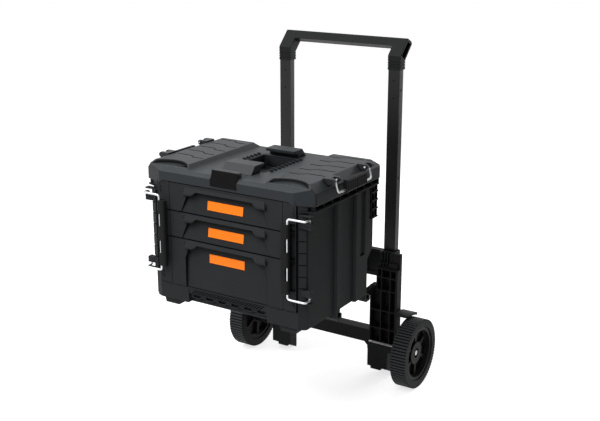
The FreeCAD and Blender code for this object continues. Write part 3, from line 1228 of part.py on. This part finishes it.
def handle_grip():
    # One moulded grip: two sockets that lean back into a full-width bar, pocketed at both ends.
    half = TUBE_OUT_X + GRIP_WALL
    in_x = TUBE_IN_X - GRIP_WALL
    y0 = TUBE_Y - GRIP_WALL
    y1 = TUBE_Y + TUBE_D + GRIP_BACK_WALL
    bend = GRIP_BEND_Z
    ease = GRIP_CHAMFER
    rear_bend = bend - GRIP_LEAN / 3
    tip_z = bend + GRIP_RISE
    rear_y = y1 + GRIP_LEAN
    rear_z = rear_bend + GRIP_RISE
    outline = [(y0, GRIP_LOW_Z), (y0, bend), (y0 + GRIP_LEAN, tip_z),
               (y0 + GRIP_LEAN + ease, tip_z + ease / 2),
               (rear_y - ease, rear_z + ease), (rear_y - ease / 2, rear_z - ease / 2),
               (y1, rear_bend), (y1, GRIP_LOW_Z)]
    solid = prism_x(outline, -half, half)
    lean = GRIP_LEAN * GRIP_BAR_SHARE
    rise = GRIP_RISE * GRIP_BAR_SHARE
    under = [(y0 - OVERRUN, GRIP_LOW_Z - OVERRUN), (y0 - OVERRUN, bend + rise), (y0 + lean, bend + rise),
             (y1 + lean, rear_bend + rise), (y1 + lean, GRIP_LOW_Z - OVERRUN)]
    gap = prism_x(under, -in_x, in_x)
    socket = block(TUBE_IN_X, TUBE_OUT_X, TUBE_Y, TUBE_Y + TUBE_D,
                   GRIP_LOW_Z - OVERRUN, GRIP_LOW_Z + GRIP_SOCKET)
    edge = GRIP_POCKET_EDGE
    pocket = prism_x([(y0 + edge, bend), (y0 + GRIP_LEAN + edge / 2, tip_z - edge),
                      (rear_y - edge - ease, rear_z - edge / 2), (y1 - edge, rear_bend + edge / 2)],
                     half - GRIP_POCKET_DEEP, half + OVERRUN)
    tools = [gap] + both_sides(socket) + both_sides(pocket)
    for k in range(COLLAR_COUNT):
        z = GRIP_LOW_Z + COLLAR_PITCH * (k + 1)
        wide = block(in_x - OVERRUN, half + OVERRUN, y0 - OVERRUN, y1 + OVERRUN, z, z + COLLAR_LINE)
        core = block(in_x + COLLAR_DEEP, half - COLLAR_DEEP, y0 + COLLAR_DEEP, y1 - COLLAR_DEEP,
                     z, z + COLLAR_LINE)
        tools += both_sides(wide.cut(core))
    return less(solid, tools)


def save(name, shape):
    # Every node is shifted so that the whole object stands centred on the origin.
    placed = shape.copy()
    placed.translate(Vector(0, -MIDDLE_Y, 0))
    placed.exportStep("parts/" + name + ".step")


def save_pair(name, shape):
    save("right_" + name, shape)
    save("left_" + name, mirrored(shape))


os.makedirs("parts", exist_ok=True)

save("body_shell", body_shell())
save("drawer_cage", drawer_cage())
save("sill_grille", sill_grille())
save("box_feet", box_feet())
save("frame_screws", frame_screws())
save_pair("side_ribs", side_ribs())
save_pair("lock_brackets", lock_brackets())
save("lid", lid())
save("grip_plates", grip_plates())
save("well_ribs", well_ribs())
save("badge_plate", badge_plate())
save("stack_brackets", stack_brackets())

bottom_top = SILL_Z + BOTTOM_DRAWER_H
middle_top = bottom_top + MIDDLE_DRAWER_H
drawers = (("top", middle_top, RIM_Z), ("middle", bottom_top, middle_top), ("bottom", SILL_Z, bottom_top))
for place, low, high in drawers:
    deep = place == "bottom"
    hang = high if deep else low + MIDDLE_DRAWER_H
    save("drawer_front_" + place, drawer_front(low, high, hang, deep))
    save("drawer_label_" + place, drawer_label(low, hang, deep))
    save("drawer_tray_" + place, drawer_tray(low, high))
    save("drawer_rails_" + place, drawer_rails(low, high))
save("outer_rails", outer_rails([(low, high) for place, low, high in drawers]))

save_pair("lock_wire", lock_wire())
save_pair("lock_sleeve", lock_sleeve())
save_pair("stack_wire", stack_wire())
save_pair("stack_paddle", stack_paddle())

save_pair("tower", tower())
save_pair("foot", foot())
save_pair("wheel_guard", wheel_guard())
save("upper_cross_member", upper_cross_member())
save("lower_cross_beam", lower_cross_beam())
save("load_carrier", load_carrier())
save("carrier_bolts", carrier_bolts())
save_pair("axle", axle())
save("axle_washers", Part.makeCompound(both_sides(axle_washer())))
save("axle_nuts", Part.makeCompound(both_sides(axle_nut())))
save_pair("tyre", tyre())
save_pair("hub", hub())
save_pair("wheel_bush", wheel_bush())
save_pair("handle_tube", handle_tube())
save("handle_grip", handle_grip())
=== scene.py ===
import json
import math
import bpy
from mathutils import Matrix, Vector

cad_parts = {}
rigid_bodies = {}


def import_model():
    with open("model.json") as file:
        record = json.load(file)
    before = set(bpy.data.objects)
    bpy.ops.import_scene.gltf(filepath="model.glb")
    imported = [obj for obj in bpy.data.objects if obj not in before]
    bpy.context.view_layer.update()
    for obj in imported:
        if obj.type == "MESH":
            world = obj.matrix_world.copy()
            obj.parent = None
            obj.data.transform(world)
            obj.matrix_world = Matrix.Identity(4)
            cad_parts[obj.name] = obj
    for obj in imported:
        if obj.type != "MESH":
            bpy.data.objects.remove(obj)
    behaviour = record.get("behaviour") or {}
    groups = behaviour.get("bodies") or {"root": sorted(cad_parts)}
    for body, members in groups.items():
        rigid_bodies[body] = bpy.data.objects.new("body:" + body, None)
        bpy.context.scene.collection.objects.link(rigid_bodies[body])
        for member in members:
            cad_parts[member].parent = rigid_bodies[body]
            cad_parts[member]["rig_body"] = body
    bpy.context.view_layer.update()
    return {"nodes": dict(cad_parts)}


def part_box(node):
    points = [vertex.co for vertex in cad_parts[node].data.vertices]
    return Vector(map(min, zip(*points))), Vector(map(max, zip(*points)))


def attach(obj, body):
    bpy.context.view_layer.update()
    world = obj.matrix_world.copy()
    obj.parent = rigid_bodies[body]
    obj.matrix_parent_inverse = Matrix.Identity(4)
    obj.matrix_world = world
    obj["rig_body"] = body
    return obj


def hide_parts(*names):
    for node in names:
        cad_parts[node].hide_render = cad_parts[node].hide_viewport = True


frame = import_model()


# The box body is one large moulding of charcoal polypropylene, open in front for the drawers.
# The mould rounds every edge a little and leaves a fine spark-eroded grain on the skin.
# Painted shade darkens its nooks and the seams beside other pieces.
nodes = frame["nodes"]
grain_detail = 2.0
cloud_scale = 9.0
cloud_detail = 5.0
palest, darkest = 1.14, 0.86         # how far the clouds lift and lower the colour
dust_lies_from = 0.3                 # upward lean of a face at which dust starts to lie
dust_color = (0.30, 0.33, 0.36, 1.0)
# Painted shade: the colour is darkened where little open sky reaches, in a piece's own nooks and at seams
# beside other pieces.
nook_reach = 0.040
nook_shut, nook_open = 0.45, 0.92    # share of open sky at a nook's bottom and at its mouth
seam_reach = 0.008
seam_shut, seam_open = 0.45, 0.90
shade_samples = 16
grain_strength = 0.6
weld_gap = 0.00002
sharp_above = math.radians(18)
smooth_below = math.radians(45)
room_share = 0.32                    # part of the room beside an edge that its radius may take
body_edge_r = 0.0040
body_edge_steps = 3

grain_and_shade_group = bpy.data.node_groups.new("moulded grain and painted shade", "ShaderNodeTree")
for way, socket, kind in (
        ("INPUT", "Color", "NodeSocketColor"), ("INPUT", "Roughness", "NodeSocketFloat"),
        ("INPUT", "Grain", "NodeSocketFloat"), ("INPUT", "Dust", "NodeSocketFloat"),
        ("INPUT", "Nook shade", "NodeSocketFloat"), ("OUTPUT", "Color", "NodeSocketColor"),
        ("OUTPUT", "Roughness", "NodeSocketFloat"), ("OUTPUT", "Height", "NodeSocketFloat")):
    grain_and_shade_group.interface.new_socket(socket, in_out=way, socket_type=kind)


def grain_node(kind, **settings):
    # One node of the grain and painted shade, with its settings.
    node = grain_and_shade_group.nodes.new(kind)
    for setting, value in settings.items():
        setattr(node, setting, value)
    return node


grain_in = grain_node("NodeGroupInput")
grain_out = grain_node("NodeGroupOutput")
grain_place = grain_node("ShaderNodeTexCoord")
grain_fine = grain_node("ShaderNodeTexNoise")
grain_fine.inputs["Detail"].default_value = grain_detail
grain_cloud = grain_node("ShaderNodeTexNoise")
grain_cloud.inputs["Scale"].default_value = cloud_scale
grain_cloud.inputs["Detail"].default_value = cloud_detail
grain_tone = grain_node("ShaderNodeMapRange")
grain_tone.inputs["To Min"].default_value = darkest
grain_tone.inputs["To Max"].default_value = palest
grain_shade = grain_node("ShaderNodeMix", data_type="RGBA", blend_type="MULTIPLY")
grain_shade.inputs["Factor"].default_value = 1.0
grain_up = grain_node("ShaderNodeSeparateXYZ")
grain_settled = grain_node("ShaderNodeMapRange")
grain_settled.inputs["From Min"].default_value = dust_lies_from
grain_patchy = grain_node("ShaderNodeMath", operation="MULTIPLY")
grain_amount = grain_node("ShaderNodeMath", operation="MULTIPLY")
grain_dusty = grain_node("ShaderNodeMix", data_type="RGBA")
grain_dusty.inputs["B"].default_value = dust_color
grain_gloss = grain_node("ShaderNodeMath", operation="MULTIPLY")
# Painted shade: two ambient-occlusion nodes darken the colour in the piece's own nooks and in seams beside
# other pieces.
grain_nook = grain_node("ShaderNodeAmbientOcclusion", only_local=True, samples=shade_samples)
grain_nook.inputs["Distance"].default_value = nook_reach
nook_shade_level = grain_node("ShaderNodeMapRange")
nook_shade_level.inputs["From Min"].default_value = nook_shut
nook_shade_level.inputs["From Max"].default_value = nook_open
seam_shade = grain_node("ShaderNodeAmbientOcclusion", samples=shade_samples)
seam_shade.inputs["Distance"].default_value = seam_reach
seam_shade_level = grain_node("ShaderNodeMapRange")
seam_shade_level.inputs["From Min"].default_value = seam_shut
seam_shade_level.inputs["From Max"].default_value = seam_open
painted_shade_share = grain_node("ShaderNodeMath", operation="MULTIPLY")
painted_shade_mix = grain_node("ShaderNodeMix", data_type="RGBA", blend_type="MULTIPLY")
painted_shade_mix.inputs["Factor"].default_value = 1.0
for source, target in (
        (grain_place.outputs["Object"], grain_fine.inputs["Vector"]),
        (grain_in.outputs["Grain"], grain_fine.inputs["Scale"]),
        (grain_fine.outputs["Fac"], grain_out.inputs["Height"]),
        (grain_place.outputs["Object"], grain_cloud.inputs["Vector"]),
        (grain_cloud.outputs["Fac"], grain_tone.inputs["Value"]),
        (grain_in.outputs["Color"], grain_shade.inputs["A"]),
        (grain_tone.outputs["Result"], grain_shade.inputs["B"]),
        (grain_place.outputs["Normal"], grain_up.inputs["Vector"]),
        (grain_up.outputs["Z"], grain_settled.inputs["Value"]),
        (grain_settled.outputs["Result"], grain_patchy.inputs[0]),
        (grain_cloud.outputs["Fac"], grain_patchy.inputs[1]),
        (grain_patchy.outputs["Value"], grain_amount.inputs[0]),
        (grain_in.outputs["Dust"], grain_amount.inputs[1]),
        (grain_amount.outputs["Value"], grain_dusty.inputs["Factor"]),
        (grain_shade.outputs["Result"], grain_dusty.inputs["A"]),
        (grain_nook.outputs["AO"], nook_shade_level.inputs["Value"]),
        (grain_in.outputs["Nook shade"], nook_shade_level.inputs["To Min"]),
        (seam_shade.outputs["AO"], seam_shade_level.inputs["Value"]),
        (grain_in.outputs["Nook shade"], seam_shade_level.inputs["To Min"]),
        (nook_shade_level.outputs["Result"], painted_shade_share.inputs[0]),
        (seam_shade_level.outputs["Result"], painted_shade_share.inputs[1]),
        (grain_dusty.outputs["Result"], painted_shade_mix.inputs["A"]),
        (painted_shade_share.outputs["Value"], painted_shade_mix.inputs["B"]),
        (painted_shade_mix.outputs["Result"], grain_out.inputs["Color"]),
        (grain_in.outputs["Roughness"], grain_gloss.inputs[0]),
        (grain_tone.outputs["Result"], grain_gloss.inputs[1]),
        (grain_gloss.outputs["Value"], grain_out.inputs["Roughness"])):
    grain_and_shade_group.links.new(source, target)


def grained_and_shaded(name, color, roughness, grain, depth, dust=0.0, metallic=0.0, specular=0.5, nook=0.08):
    # A material whose colour, gloss and fine relief come from the shared grain, with painted shade darkening
    # its nooks and seams.
    # The last argument is the share of the colour that the painted shade leaves in the deepest nooks and
    # seams.
    material = bpy.data.materials.new(name)
    material.use_nodes = True
    tree = material.node_tree
    shader = tree.nodes["Principled BSDF"]
    shader.inputs["Metallic"].default_value = metallic
    shader.inputs["Specular IOR Level"].default_value = specular
    skin = tree.nodes.new("ShaderNodeGroup")
    skin.node_tree = grain_and_shade_group
    skin.inputs["Color"].default_value = (*color, 1.0)
    skin.inputs["Roughness"].default_value = roughness
    skin.inputs["Grain"].default_value = grain
    skin.inputs["Dust"].default_value = dust
    skin.inputs["Nook shade"].default_value = nook
    relief = tree.nodes.new("ShaderNodeBump")
    relief.inputs["Strength"].default_value = grain_strength
    relief.inputs["Distance"].default_value = depth
    tree.links.new(skin.outputs["Color"], shader.inputs["Base Color"])
    tree.links.new(skin.outputs["Roughness"], shader.inputs["Roughness"])
    tree.links.new(skin.outputs["Height"], relief.inputs["Height"])
    tree.links.new(relief.outputs["Normal"], shader.inputs["Normal"])
    return material


def merged_copy(name):
    # A copy of the solid's mesh with its loose triangles joined into one skin, ready to be shaped.
    bpy.ops.object.select_all(action="DESELECT")
    piece = bpy.data.objects.new(name + "_skin", nodes[name].data.copy())
    bpy.context.scene.collection.objects.link(piece)
    bpy.context.view_layer.objects.active = piece
    piece.select_set(True)
    piece.data.materials.clear()
    bpy.ops.object.mode_set(mode="EDIT")
    bpy.ops.mesh.select_all(action="SELECT")
    bpy.ops.mesh.remove_doubles(threshold=weld_gap)
    bpy.ops.mesh.customdata_custom_splitnormals_clear()
    bpy.ops.object.mode_set(mode="OBJECT")
    return piece


def rounded(piece, width, segments=2):
    # Rounds every sharp edge as far as the faces and edges beside it leave room, and keeps the flats flat.
    mesh = piece.data
    places = [corner.co for corner in mesh.vertices]
    lengths = {edge.key: (places[edge.key[0]] - places[edge.key[1]]).length for edge in mesh.edges}
    beside = {}
    for face in mesh.polygons:
        for key in face.edge_keys:
            beside.setdefault(key, []).append(face)
    sharp = {key for key, faces in beside.items()
             if len(faces) == 2 and faces[0].normal.angle(faces[1].normal, 0.0) > sharp_above}
    meeting = {}
    for key in sharp:
        for end in key:
            meeting.setdefault(end, []).append(key)
    weights = mesh.attributes.new("bevel_weight_edge", "FLOAT", "EDGE")
    for edge in mesh.edges:
        if edge.key in sharp:
            room = [2.0 * face.area / lengths[edge.key] for face in beside[edge.key]]
            room += [lengths[key] for end in edge.key for key in meeting[end] if key != edge.key]
            weights.data[edge.index].value = min(1.0, room_share * min(room) / width)
    bevel = piece.modifiers.new("mould radius", "BEVEL")
    bevel.width = width
    bevel.segments = segments
    bevel.limit_method = "WEIGHT"
    bevel.use_clamp_overlap = False
    bpy.ops.object.modifier_apply(modifier=bevel.name)
    bpy.ops.object.shade_smooth_by_angle(angle=smooth_below)
    flats = piece.modifiers.new("flat faces", "WEIGHTED_NORMAL")
    flats.keep_sharp = True
    bpy.ops.object.modifier_apply(modifier=flats.name)


def dressed(piece, name, material):
    # The finished piece takes the solid's place and moves with its body.
    piece.data.materials.append(material)
    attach(piece, nodes[name]["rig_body"])
    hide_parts(name)


def moulded(name, material, edge_r, edge_steps=2):
    # A solid's copy with rounded edges in its material.
    piece = merged_copy(name)
    rounded(piece, edge_r, edge_steps)
    dressed(piece, name, material)
    return piece


# The charcoal keeps only 4 % of its colour in the deepest nooks and seams, as painted shade.
charcoal = grained_and_shaded("charcoal polypropylene", color=(0.0195, 0.0210, 0.0221), roughness=0.56, grain=900.0,
                   depth=0.00012, dust=0.05, specular=0.06, nook=0.04)
moulded("body_shell", charcoal, body_edge_r, body_edge_steps)


# The cage, side ribs, lock brackets, feet and sill grille are mouldings of the same charcoal plastic,
# welded or clipped to the body. The ribs, brackets and feet are thin, so their edges are only just broken;
# the cage and the sill grille keep the edges of the solid.
rib_edge_r = 0.0008
for name in ("left_side_ribs", "right_side_ribs", "left_lock_brackets", "right_lock_brackets", "box_feet"):
    moulded(name, charcoal, rib_edge_r)


def bare(name, material):
    # A solid that shows as it is, in its material.
    nodes[name].data.materials.clear()
    nodes[name].data.materials.append(material)


for name in ("drawer_cage", "sill_grille"):
    bare(name, charcoal)


# Rails, axles, nuts, washers and bolts are steel with grey, slightly cloudy zinc plating.
# The hexagon screws at the ends of both front jambs are coated in the body's charcoal.
screw_edge_r = 0.0006
zinc = grained_and_shaded("zinc plate", color=(0.50, 0.50, 0.51), roughness=0.34, grain=260.0, depth=0.00003,
               metallic=1.0, nook=1.0)
for name in ("outer_rails", "drawer_rails_top", "drawer_rails_middle", "drawer_rails_bottom", "left_axle",
             "right_axle", "axle_washers", "axle_nuts", "carrier_bolts"):
    bare(name, zinc)
moulded("frame_screws", charcoal, screw_edge_r)


# The lid is a shell moulding of the same plastic from a smoother mould, with two plateaus
# beside a sunk channel. It shines more than the body, gathers more dust and has broad rounded edges.
lid_edge_r = 0.0090
lid_edge_steps = 4
lid_plastic = grained_and_shaded("lid polypropylene", color=(0.0165, 0.0193, 0.0217), roughness=0.46, grain=900.0,
                      depth=0.00012, dust=0.12, specular=0.17)
moulded("lid", lid_plastic, lid_edge_r, lid_edge_steps)


# Two grip plates stand on the lid over the carry well, with short ribs along the well
# and four forked eyes for the stacking bails. All are mouldings of the lid's plastic, welded on.
grip_plate_edge_r = 0.0018
well_rib_edge_r = 0.0006
bail_eye_edge_r = 0.0008
moulded("grip_plates", lid_plastic, grip_plate_edge_r)
moulded("well_ribs", lid_plastic, well_rib_edge_r)
moulded("stack_brackets", lid_plastic, bail_eye_edge_r)


# A bare black plastic plate, glossy and rounded a little at its edges.
# It is glued to a flat, leaning seat in the middle of the lid's front.
badge_edge_r = 0.0010
badge_edge_steps = 3
badge_black = grained_and_shaded("badge black", color=(0.003, 0.003, 0.0033), roughness=0.30, grain=400.0, depth=0.00002,
                      specular=0.08)
moulded("badge_plate", badge_black, badge_edge_r, badge_edge_steps)


# Three drawers: a thick moulded front with a finger lip, an orange label plate in the sunk field,
# and a tray behind it. The label is a smooth plastic plate pressed onto the field.
front_edge_r = 0.0032
front_edge_steps = 3
label_edge_r = 0.0005
tray_edge_r = 0.0008
orange = grained_and_shaded("label orange", color=(0.95, 0.205, 0.008), roughness=0.45, grain=500.0, depth=0.00002,
                 specular=0.2)
for drawer in ("top", "middle", "bottom"):
    moulded("drawer_front_" + drawer, charcoal, front_edge_r, front_edge_steps)
    moulded("drawer_label_" + drawer, orange, label_edge_r)
    moulded("drawer_tray_" + drawer, charcoal, tray_edge_r)


# Bent steel wire bails: two drawer locks at the front corners and two stacking latches on the lid.
# The wire is round, about 6 mm thick and bright zinc plated. Smoothing thins it, so it is swelled first.
wire_swell = 0.0003
wire_levels = 2
bright = grained_and_shaded("bright zinc wire", color=(0.62, 0.63, 0.64), roughness=0.40, grain=300.0, depth=0.00002,
                 metallic=1.0, nook=0.8)
for name in ("left_lock_wire", "right_lock_wire", "left_stack_wire", "right_stack_wire"):
    wire_skin = merged_copy(name)
    bpy.ops.object.mode_set(mode="EDIT")
    bpy.ops.mesh.select_all(action="SELECT")
    bpy.ops.transform.shrink_fatten(value=wire_swell)
    bpy.ops.object.mode_set(mode="OBJECT")
    smooth = wire_skin.modifiers.new("round wire", "SUBSURF")
    smooth.levels = wire_levels
    smooth.render_levels = wire_levels
    bpy.ops.object.modifier_apply(modifier=smooth.name)
    bpy.ops.object.shade_smooth()
    dressed(wire_skin, name, bright)


# The finger grips of the bails: a long sleeve on each lock and a paddle on each stacking latch.
# They are black nylon, moulded round the wires.
sleeve_edge_r = 0.0010
black = grained_and_shaded("black nylon", color=(0.0095, 0.0100, 0.0100), roughness=0.50, grain=800.0, depth=0.0001,
                dust=0.03, specular=0.07, nook=1.0)
for name in ("left_lock_sleeve", "right_lock_sleeve", "left_stack_paddle", "right_stack_paddle"):
    moulded(name, black, sleeve_edge_r)


# The trolley's towers, feet, guards and cross members are black glass-filled mouldings,
# open ribbed in front, bolted together across the axle.
tower_edge_r = 0.0008
for name in ("left_tower", "right_tower", "left_foot", "right_foot", "upper_cross_member", "lower_cross_beam",
             "left_wheel_guard", "right_wheel_guard"):
    moulded(name, black, tower_edge_r)


# The load carrier under the box is an aluminium casting with two arms, coated black.
# Four bolts hold its plate to the upper cross member.
carrier_edge_r = 0.0015
coated = grained_and_shaded("black coated aluminium", color=(0.008, 0.008, 0.0085), roughness=0.42, grain=600.0,
                 depth=0.00005, specular=0.3)
moulded("load_carrier", coated, carrier_edge_r)


# Each wheel is a solid rubber tyre with cross bars on a black moulded hub that turns on a plastic bush.
# The grooves and the smooth side walls are painted darker than the tread, as painted shade.
# A plain round plate with an eye for the axle's end is pressed onto the hub's disc.
tyre_edge_r = 0.0005
hub_edge_r = 0.0012
groove_from, groove_to = 0.0012, 0.0045    # depths below the tread
tread_lean = 0.5                           # most that a groove's face leans to the side
wall_lean = 0.6                            # least that a side wall's face does
in_groove, on_wall = 1, 2                  # the tyre's second and third material
plate_r = 0.037
plate_t = 0.003
plate_eye_r = 0.0155
plate_sunk = 0.0155                        # plate's middle behind the tyre's outer face
plate_sides = 48
plate_flat = 0.9                           # least that the plate's two flat faces lean to the side
plate_edge_r = 0.0010
rubber = grained_and_shaded("tyre rubber", color=(0.028, 0.0310, 0.0330), roughness=0.64, grain=500.0, depth=0.0002,
                 dust=0.05, specular=0.20)
hub_black = grained_and_shaded("hub black", color=(0.0115, 0.0120, 0.0122), roughness=0.46, grain=700.0, depth=0.0001,
                    specular=0.08, nook=0.9)
bush_plastic = grained_and_shaded("bush plastic", color=(0.55, 0.54, 0.50), roughness=0.40, grain=500.0, depth=0.00002)
# Painted shade: darker copies of the rubber for the grooves and the side walls.
shaded_groove_rubber = grained_and_shaded("tyre rubber with painted shade in the grooves", color=(0.0050, 0.0055, 0.0058), roughness=0.70,
                        grain=500.0, depth=0.0002, specular=0.1)
shaded_wall_rubber = grained_and_shaded("tyre rubber with painted shade on the walls", color=(0.0125, 0.0135, 0.0142), roughness=0.60,
                      grain=500.0, depth=0.0001, specular=0.1)
for side in ("left", "right"):
    tyre_skin = moulded(side + "_tyre", rubber, tyre_edge_r)
    tyre_skin.data.materials.append(shaded_groove_rubber)
    tyre_skin.data.materials.append(shaded_wall_rubber)
    tyre_low, tyre_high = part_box(side + "_tyre")
    axle_y = (tyre_low[1] + tyre_high[1]) / 2
    axle_z = (tyre_low[2] + tyre_high[2]) / 2
    tread_r = (tyre_high[1] - tyre_low[1]) / 2
    # Faces in the grooves and on the side walls take the darker rubber, as painted shade.
    for face in tyre_skin.data.polygons:
        below = tread_r - math.hypot(face.center.y - axle_y, face.center.z - axle_z)
        if groove_from < below < groove_to and abs(face.normal.x) < tread_lean:
            face.material_index = in_groove
        elif abs(face.normal.x) > wall_lean:
            face.material_index = on_wall
    moulded(side + "_hub", hub_black, hub_edge_r)
    plate_x = tyre_high[0] - plate_sunk if side == "right" else tyre_low[0] + plate_sunk
    bpy.ops.object.select_all(action="DESELECT")
    bpy.ops.mesh.primitive_cylinder_add(vertices=plate_sides, radius=plate_r, depth=plate_t,
                                        location=(plate_x, axle_y, axle_z),
                                        rotation=(0.0, math.radians(90), 0.0))
    plate = bpy.context.object
    plate.name = side + "_hub_plate"
    bpy.ops.object.transform_apply(location=True, rotation=True, scale=True)
    bpy.ops.object.mode_set(mode="EDIT")
    bpy.ops.mesh.select_mode(type="FACE")
    bpy.ops.mesh.select_all(action="DESELECT")
    bpy.ops.object.mode_set(mode="OBJECT")
    for face in plate.data.polygons:
        face.select = abs(face.normal.x) > plate_flat
    bpy.ops.object.mode_set(mode="EDIT")
    bpy.ops.mesh.inset(thickness=plate_r - plate_eye_r, use_individual=True)
    bpy.ops.mesh.delete(type="FACE")
    bpy.ops.mesh.select_mode(type="EDGE")
    bpy.ops.mesh.select_all(action="DESELECT")
    bpy.ops.mesh.select_non_manifold()
    bpy.ops.mesh.bridge_edge_loops()
    bpy.ops.mesh.select_all(action="SELECT")
    bpy.ops.mesh.normals_make_consistent(inside=False)
    bpy.ops.object.mode_set(mode="OBJECT")
    rounded(plate, plate_edge_r)
    plate.data.materials.append(hub_black)
    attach(plate, nodes[side + "_hub"]["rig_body"])
    bare(side + "_wheel_bush", bush_plastic)


# The telescopic handle: two rectangular steel tubes in satin black powder coat, rolled with round corners,
# pushed into a moulded nylon grip that leans back at the top.
tube_edge_r = 0.0006
grip_edge_r = 0.0012
satin = grained_and_shaded("satin powder coat", color=(0.0065, 0.0065, 0.007), roughness=0.36, grain=1200.0,
                depth=0.00004, specular=0.3)
grip_nylon = grained_and_shaded("grip nylon", color=(0.0078, 0.0083, 0.0083), roughness=0.50, grain=800.0, depth=0.0001,
                     dust=0.03, specular=0.12)
moulded("left_handle_tube", satin, tube_edge_r)
moulded("right_handle_tube", satin, tube_edge_r)
moulded("handle_grip", grip_nylon, grip_edge_r)


# A plain floor of white paper under the trolley. It keeps the soft shadow,
# and the camera, metal and glossy plastic see it as white as the surround.
floor_size = 30.0
floor_lift = 0.72
bpy.ops.object.select_all(action="DESELECT")
bpy.ops.mesh.primitive_plane_add(size=floor_size, location=(0.0, 0.0, 0.0))
floor = bpy.context.object
floor.name = "studio_floor"
paper = bpy.data.materials.new("white paper")
paper.use_nodes = True
paper_tree = paper.node_tree
paper_shader = paper_tree.nodes["Principled BSDF"]
paper_shader.inputs["Base Color"].default_value = (0.85, 0.85, 0.85, 1.0)
paper_shader.inputs["Roughness"].default_value = 0.9
paper_shader.inputs["Specular IOR Level"].default_value = 0.1
paper_shader.inputs["Emission Color"].default_value = (1.0, 1.0, 1.0, 1.0)


def seen_directly(tree):
    # 1 for rays that show the surface, straight or in a reflection, and 0 for rays that light the object.
    ray = tree.nodes.new("ShaderNodeLightPath")
    reflected = tree.nodes.new("ShaderNodeMath")
    reflected.operation = "MAXIMUM"
    tree.links.new(ray.outputs["Is Camera Ray"], reflected.inputs[0])
    tree.links.new(ray.outputs["Is Glossy Ray"], reflected.inputs[1])
    through = tree.nodes.new("ShaderNodeMath")
    through.operation = "MAXIMUM"
    tree.links.new(reflected.outputs["Value"], through.inputs[0])
    tree.links.new(ray.outputs["Is Transmission Ray"], through.inputs[1])
    return through.outputs["Value"]


paper_lift = paper_tree.nodes.new("ShaderNodeMath")
paper_lift.operation = "MULTIPLY"
paper_lift.inputs[1].default_value = floor_lift
paper_tree.links.new(seen_directly(paper_tree), paper_lift.inputs[0])
paper_tree.links.new(paper_lift.outputs["Value"], paper_shader.inputs["Emission Strength"])
floor.data.materials.append(paper)


# Studio light: a dim surround that looks white, and three soft boxes that aim at the object's middle.
# The strongest hangs above on the left, one hangs above in front and one stands behind.
surround_light = 0.30
surround_white = 1.0
light_aim = Vector((0.0, 0.0, 0.5))
world = bpy.data.worlds.new("studio")
bpy.context.scene.world = world
world.use_nodes = True
sky_tree = world.node_tree
sky = sky_tree.nodes["Background"]
sky.inputs["Color"].default_value = (1.0, 1.0, 1.0, 1.0)
sky_level = sky_tree.nodes.new("ShaderNodeMapRange")
sky_level.inputs["To Min"].default_value = surround_light
sky_level.inputs["To Max"].default_value = surround_white
sky_tree.links.new(seen_directly(sky_tree), sky_level.inputs["Value"])
sky_tree.links.new(sky_level.outputs["Result"], sky.inputs["Strength"])
for lamp, place, size, power in (("soft_box_left", (-1.4, -1.6, 2.8), 1.8, 60.0),
                                 ("soft_box_front", (0.3, -1.9, 2.6), 1.2, 34.0),
                                 ("soft_box_back", (0.4, 2.9, 1.1), 1.8, 26.0)):
    bpy.ops.object.light_add(type="AREA", location=place)
    light = bpy.context.object
    light.name = lamp
    light.data.size = size
    light.data.energy = power
    light.visible_camera = False
    light.rotation_euler = (light_aim - Vector(place)).to_track_quat("-Z", "Y").to_euler()


# A grey card stands to the right of the box, as in a product studio, so that the side stays darker
# than the front. Only reflections show it: the camera looks through it, and it throws no shadow.
card_place = (0.95, 0.95, 0.70)
card_height, card_length = 1.4, 2.6
bpy.ops.object.select_all(action="DESELECT")
bpy.ops.mesh.primitive_plane_add(size=1.0, location=card_place)
card = bpy.context.object
card.name = "grey_card"
card.dimensions = (card_height, card_length, 0.0)
card.rotation_euler = (0.0, math.radians(90), 0.0)
bpy.ops.object.transform_apply(location=True, rotation=True, scale=True)
card_grey = bpy.data.materials.new("card grey")
card_grey.use_nodes = True
card_shader = card_grey.node_tree.nodes["Principled BSDF"]
card_shader.inputs["Base Color"].default_value = (0.05, 0.05, 0.05, 1.0)
card_shader.inputs["Specular IOR Level"].default_value = 0.0
card.data.materials.append(card_grey)
card.visible_camera = False
card.visible_diffuse = False
card.visible_shadow = False


# The camera stands in front of the box, to its right and above the lid, and looks slightly down.
# Its place, turn and lens were fitted to the photograph.
camera_place = (1.5869, -2.46745, 1.4828)
camera_tilt = math.radians(73.22)
camera_turn = math.radians(32.17)
film_width = 36.0
lens_length = 60.88
bpy.ops.object.camera_add(location=camera_place, rotation=(camera_tilt, 0.0, camera_turn))
camera = bpy.context.object
camera.data.sensor_width = film_width
camera.data.lens = lens_length
scene = bpy.context.scene
scene.camera = camera
scene.view_settings.view_transform = "Standard"
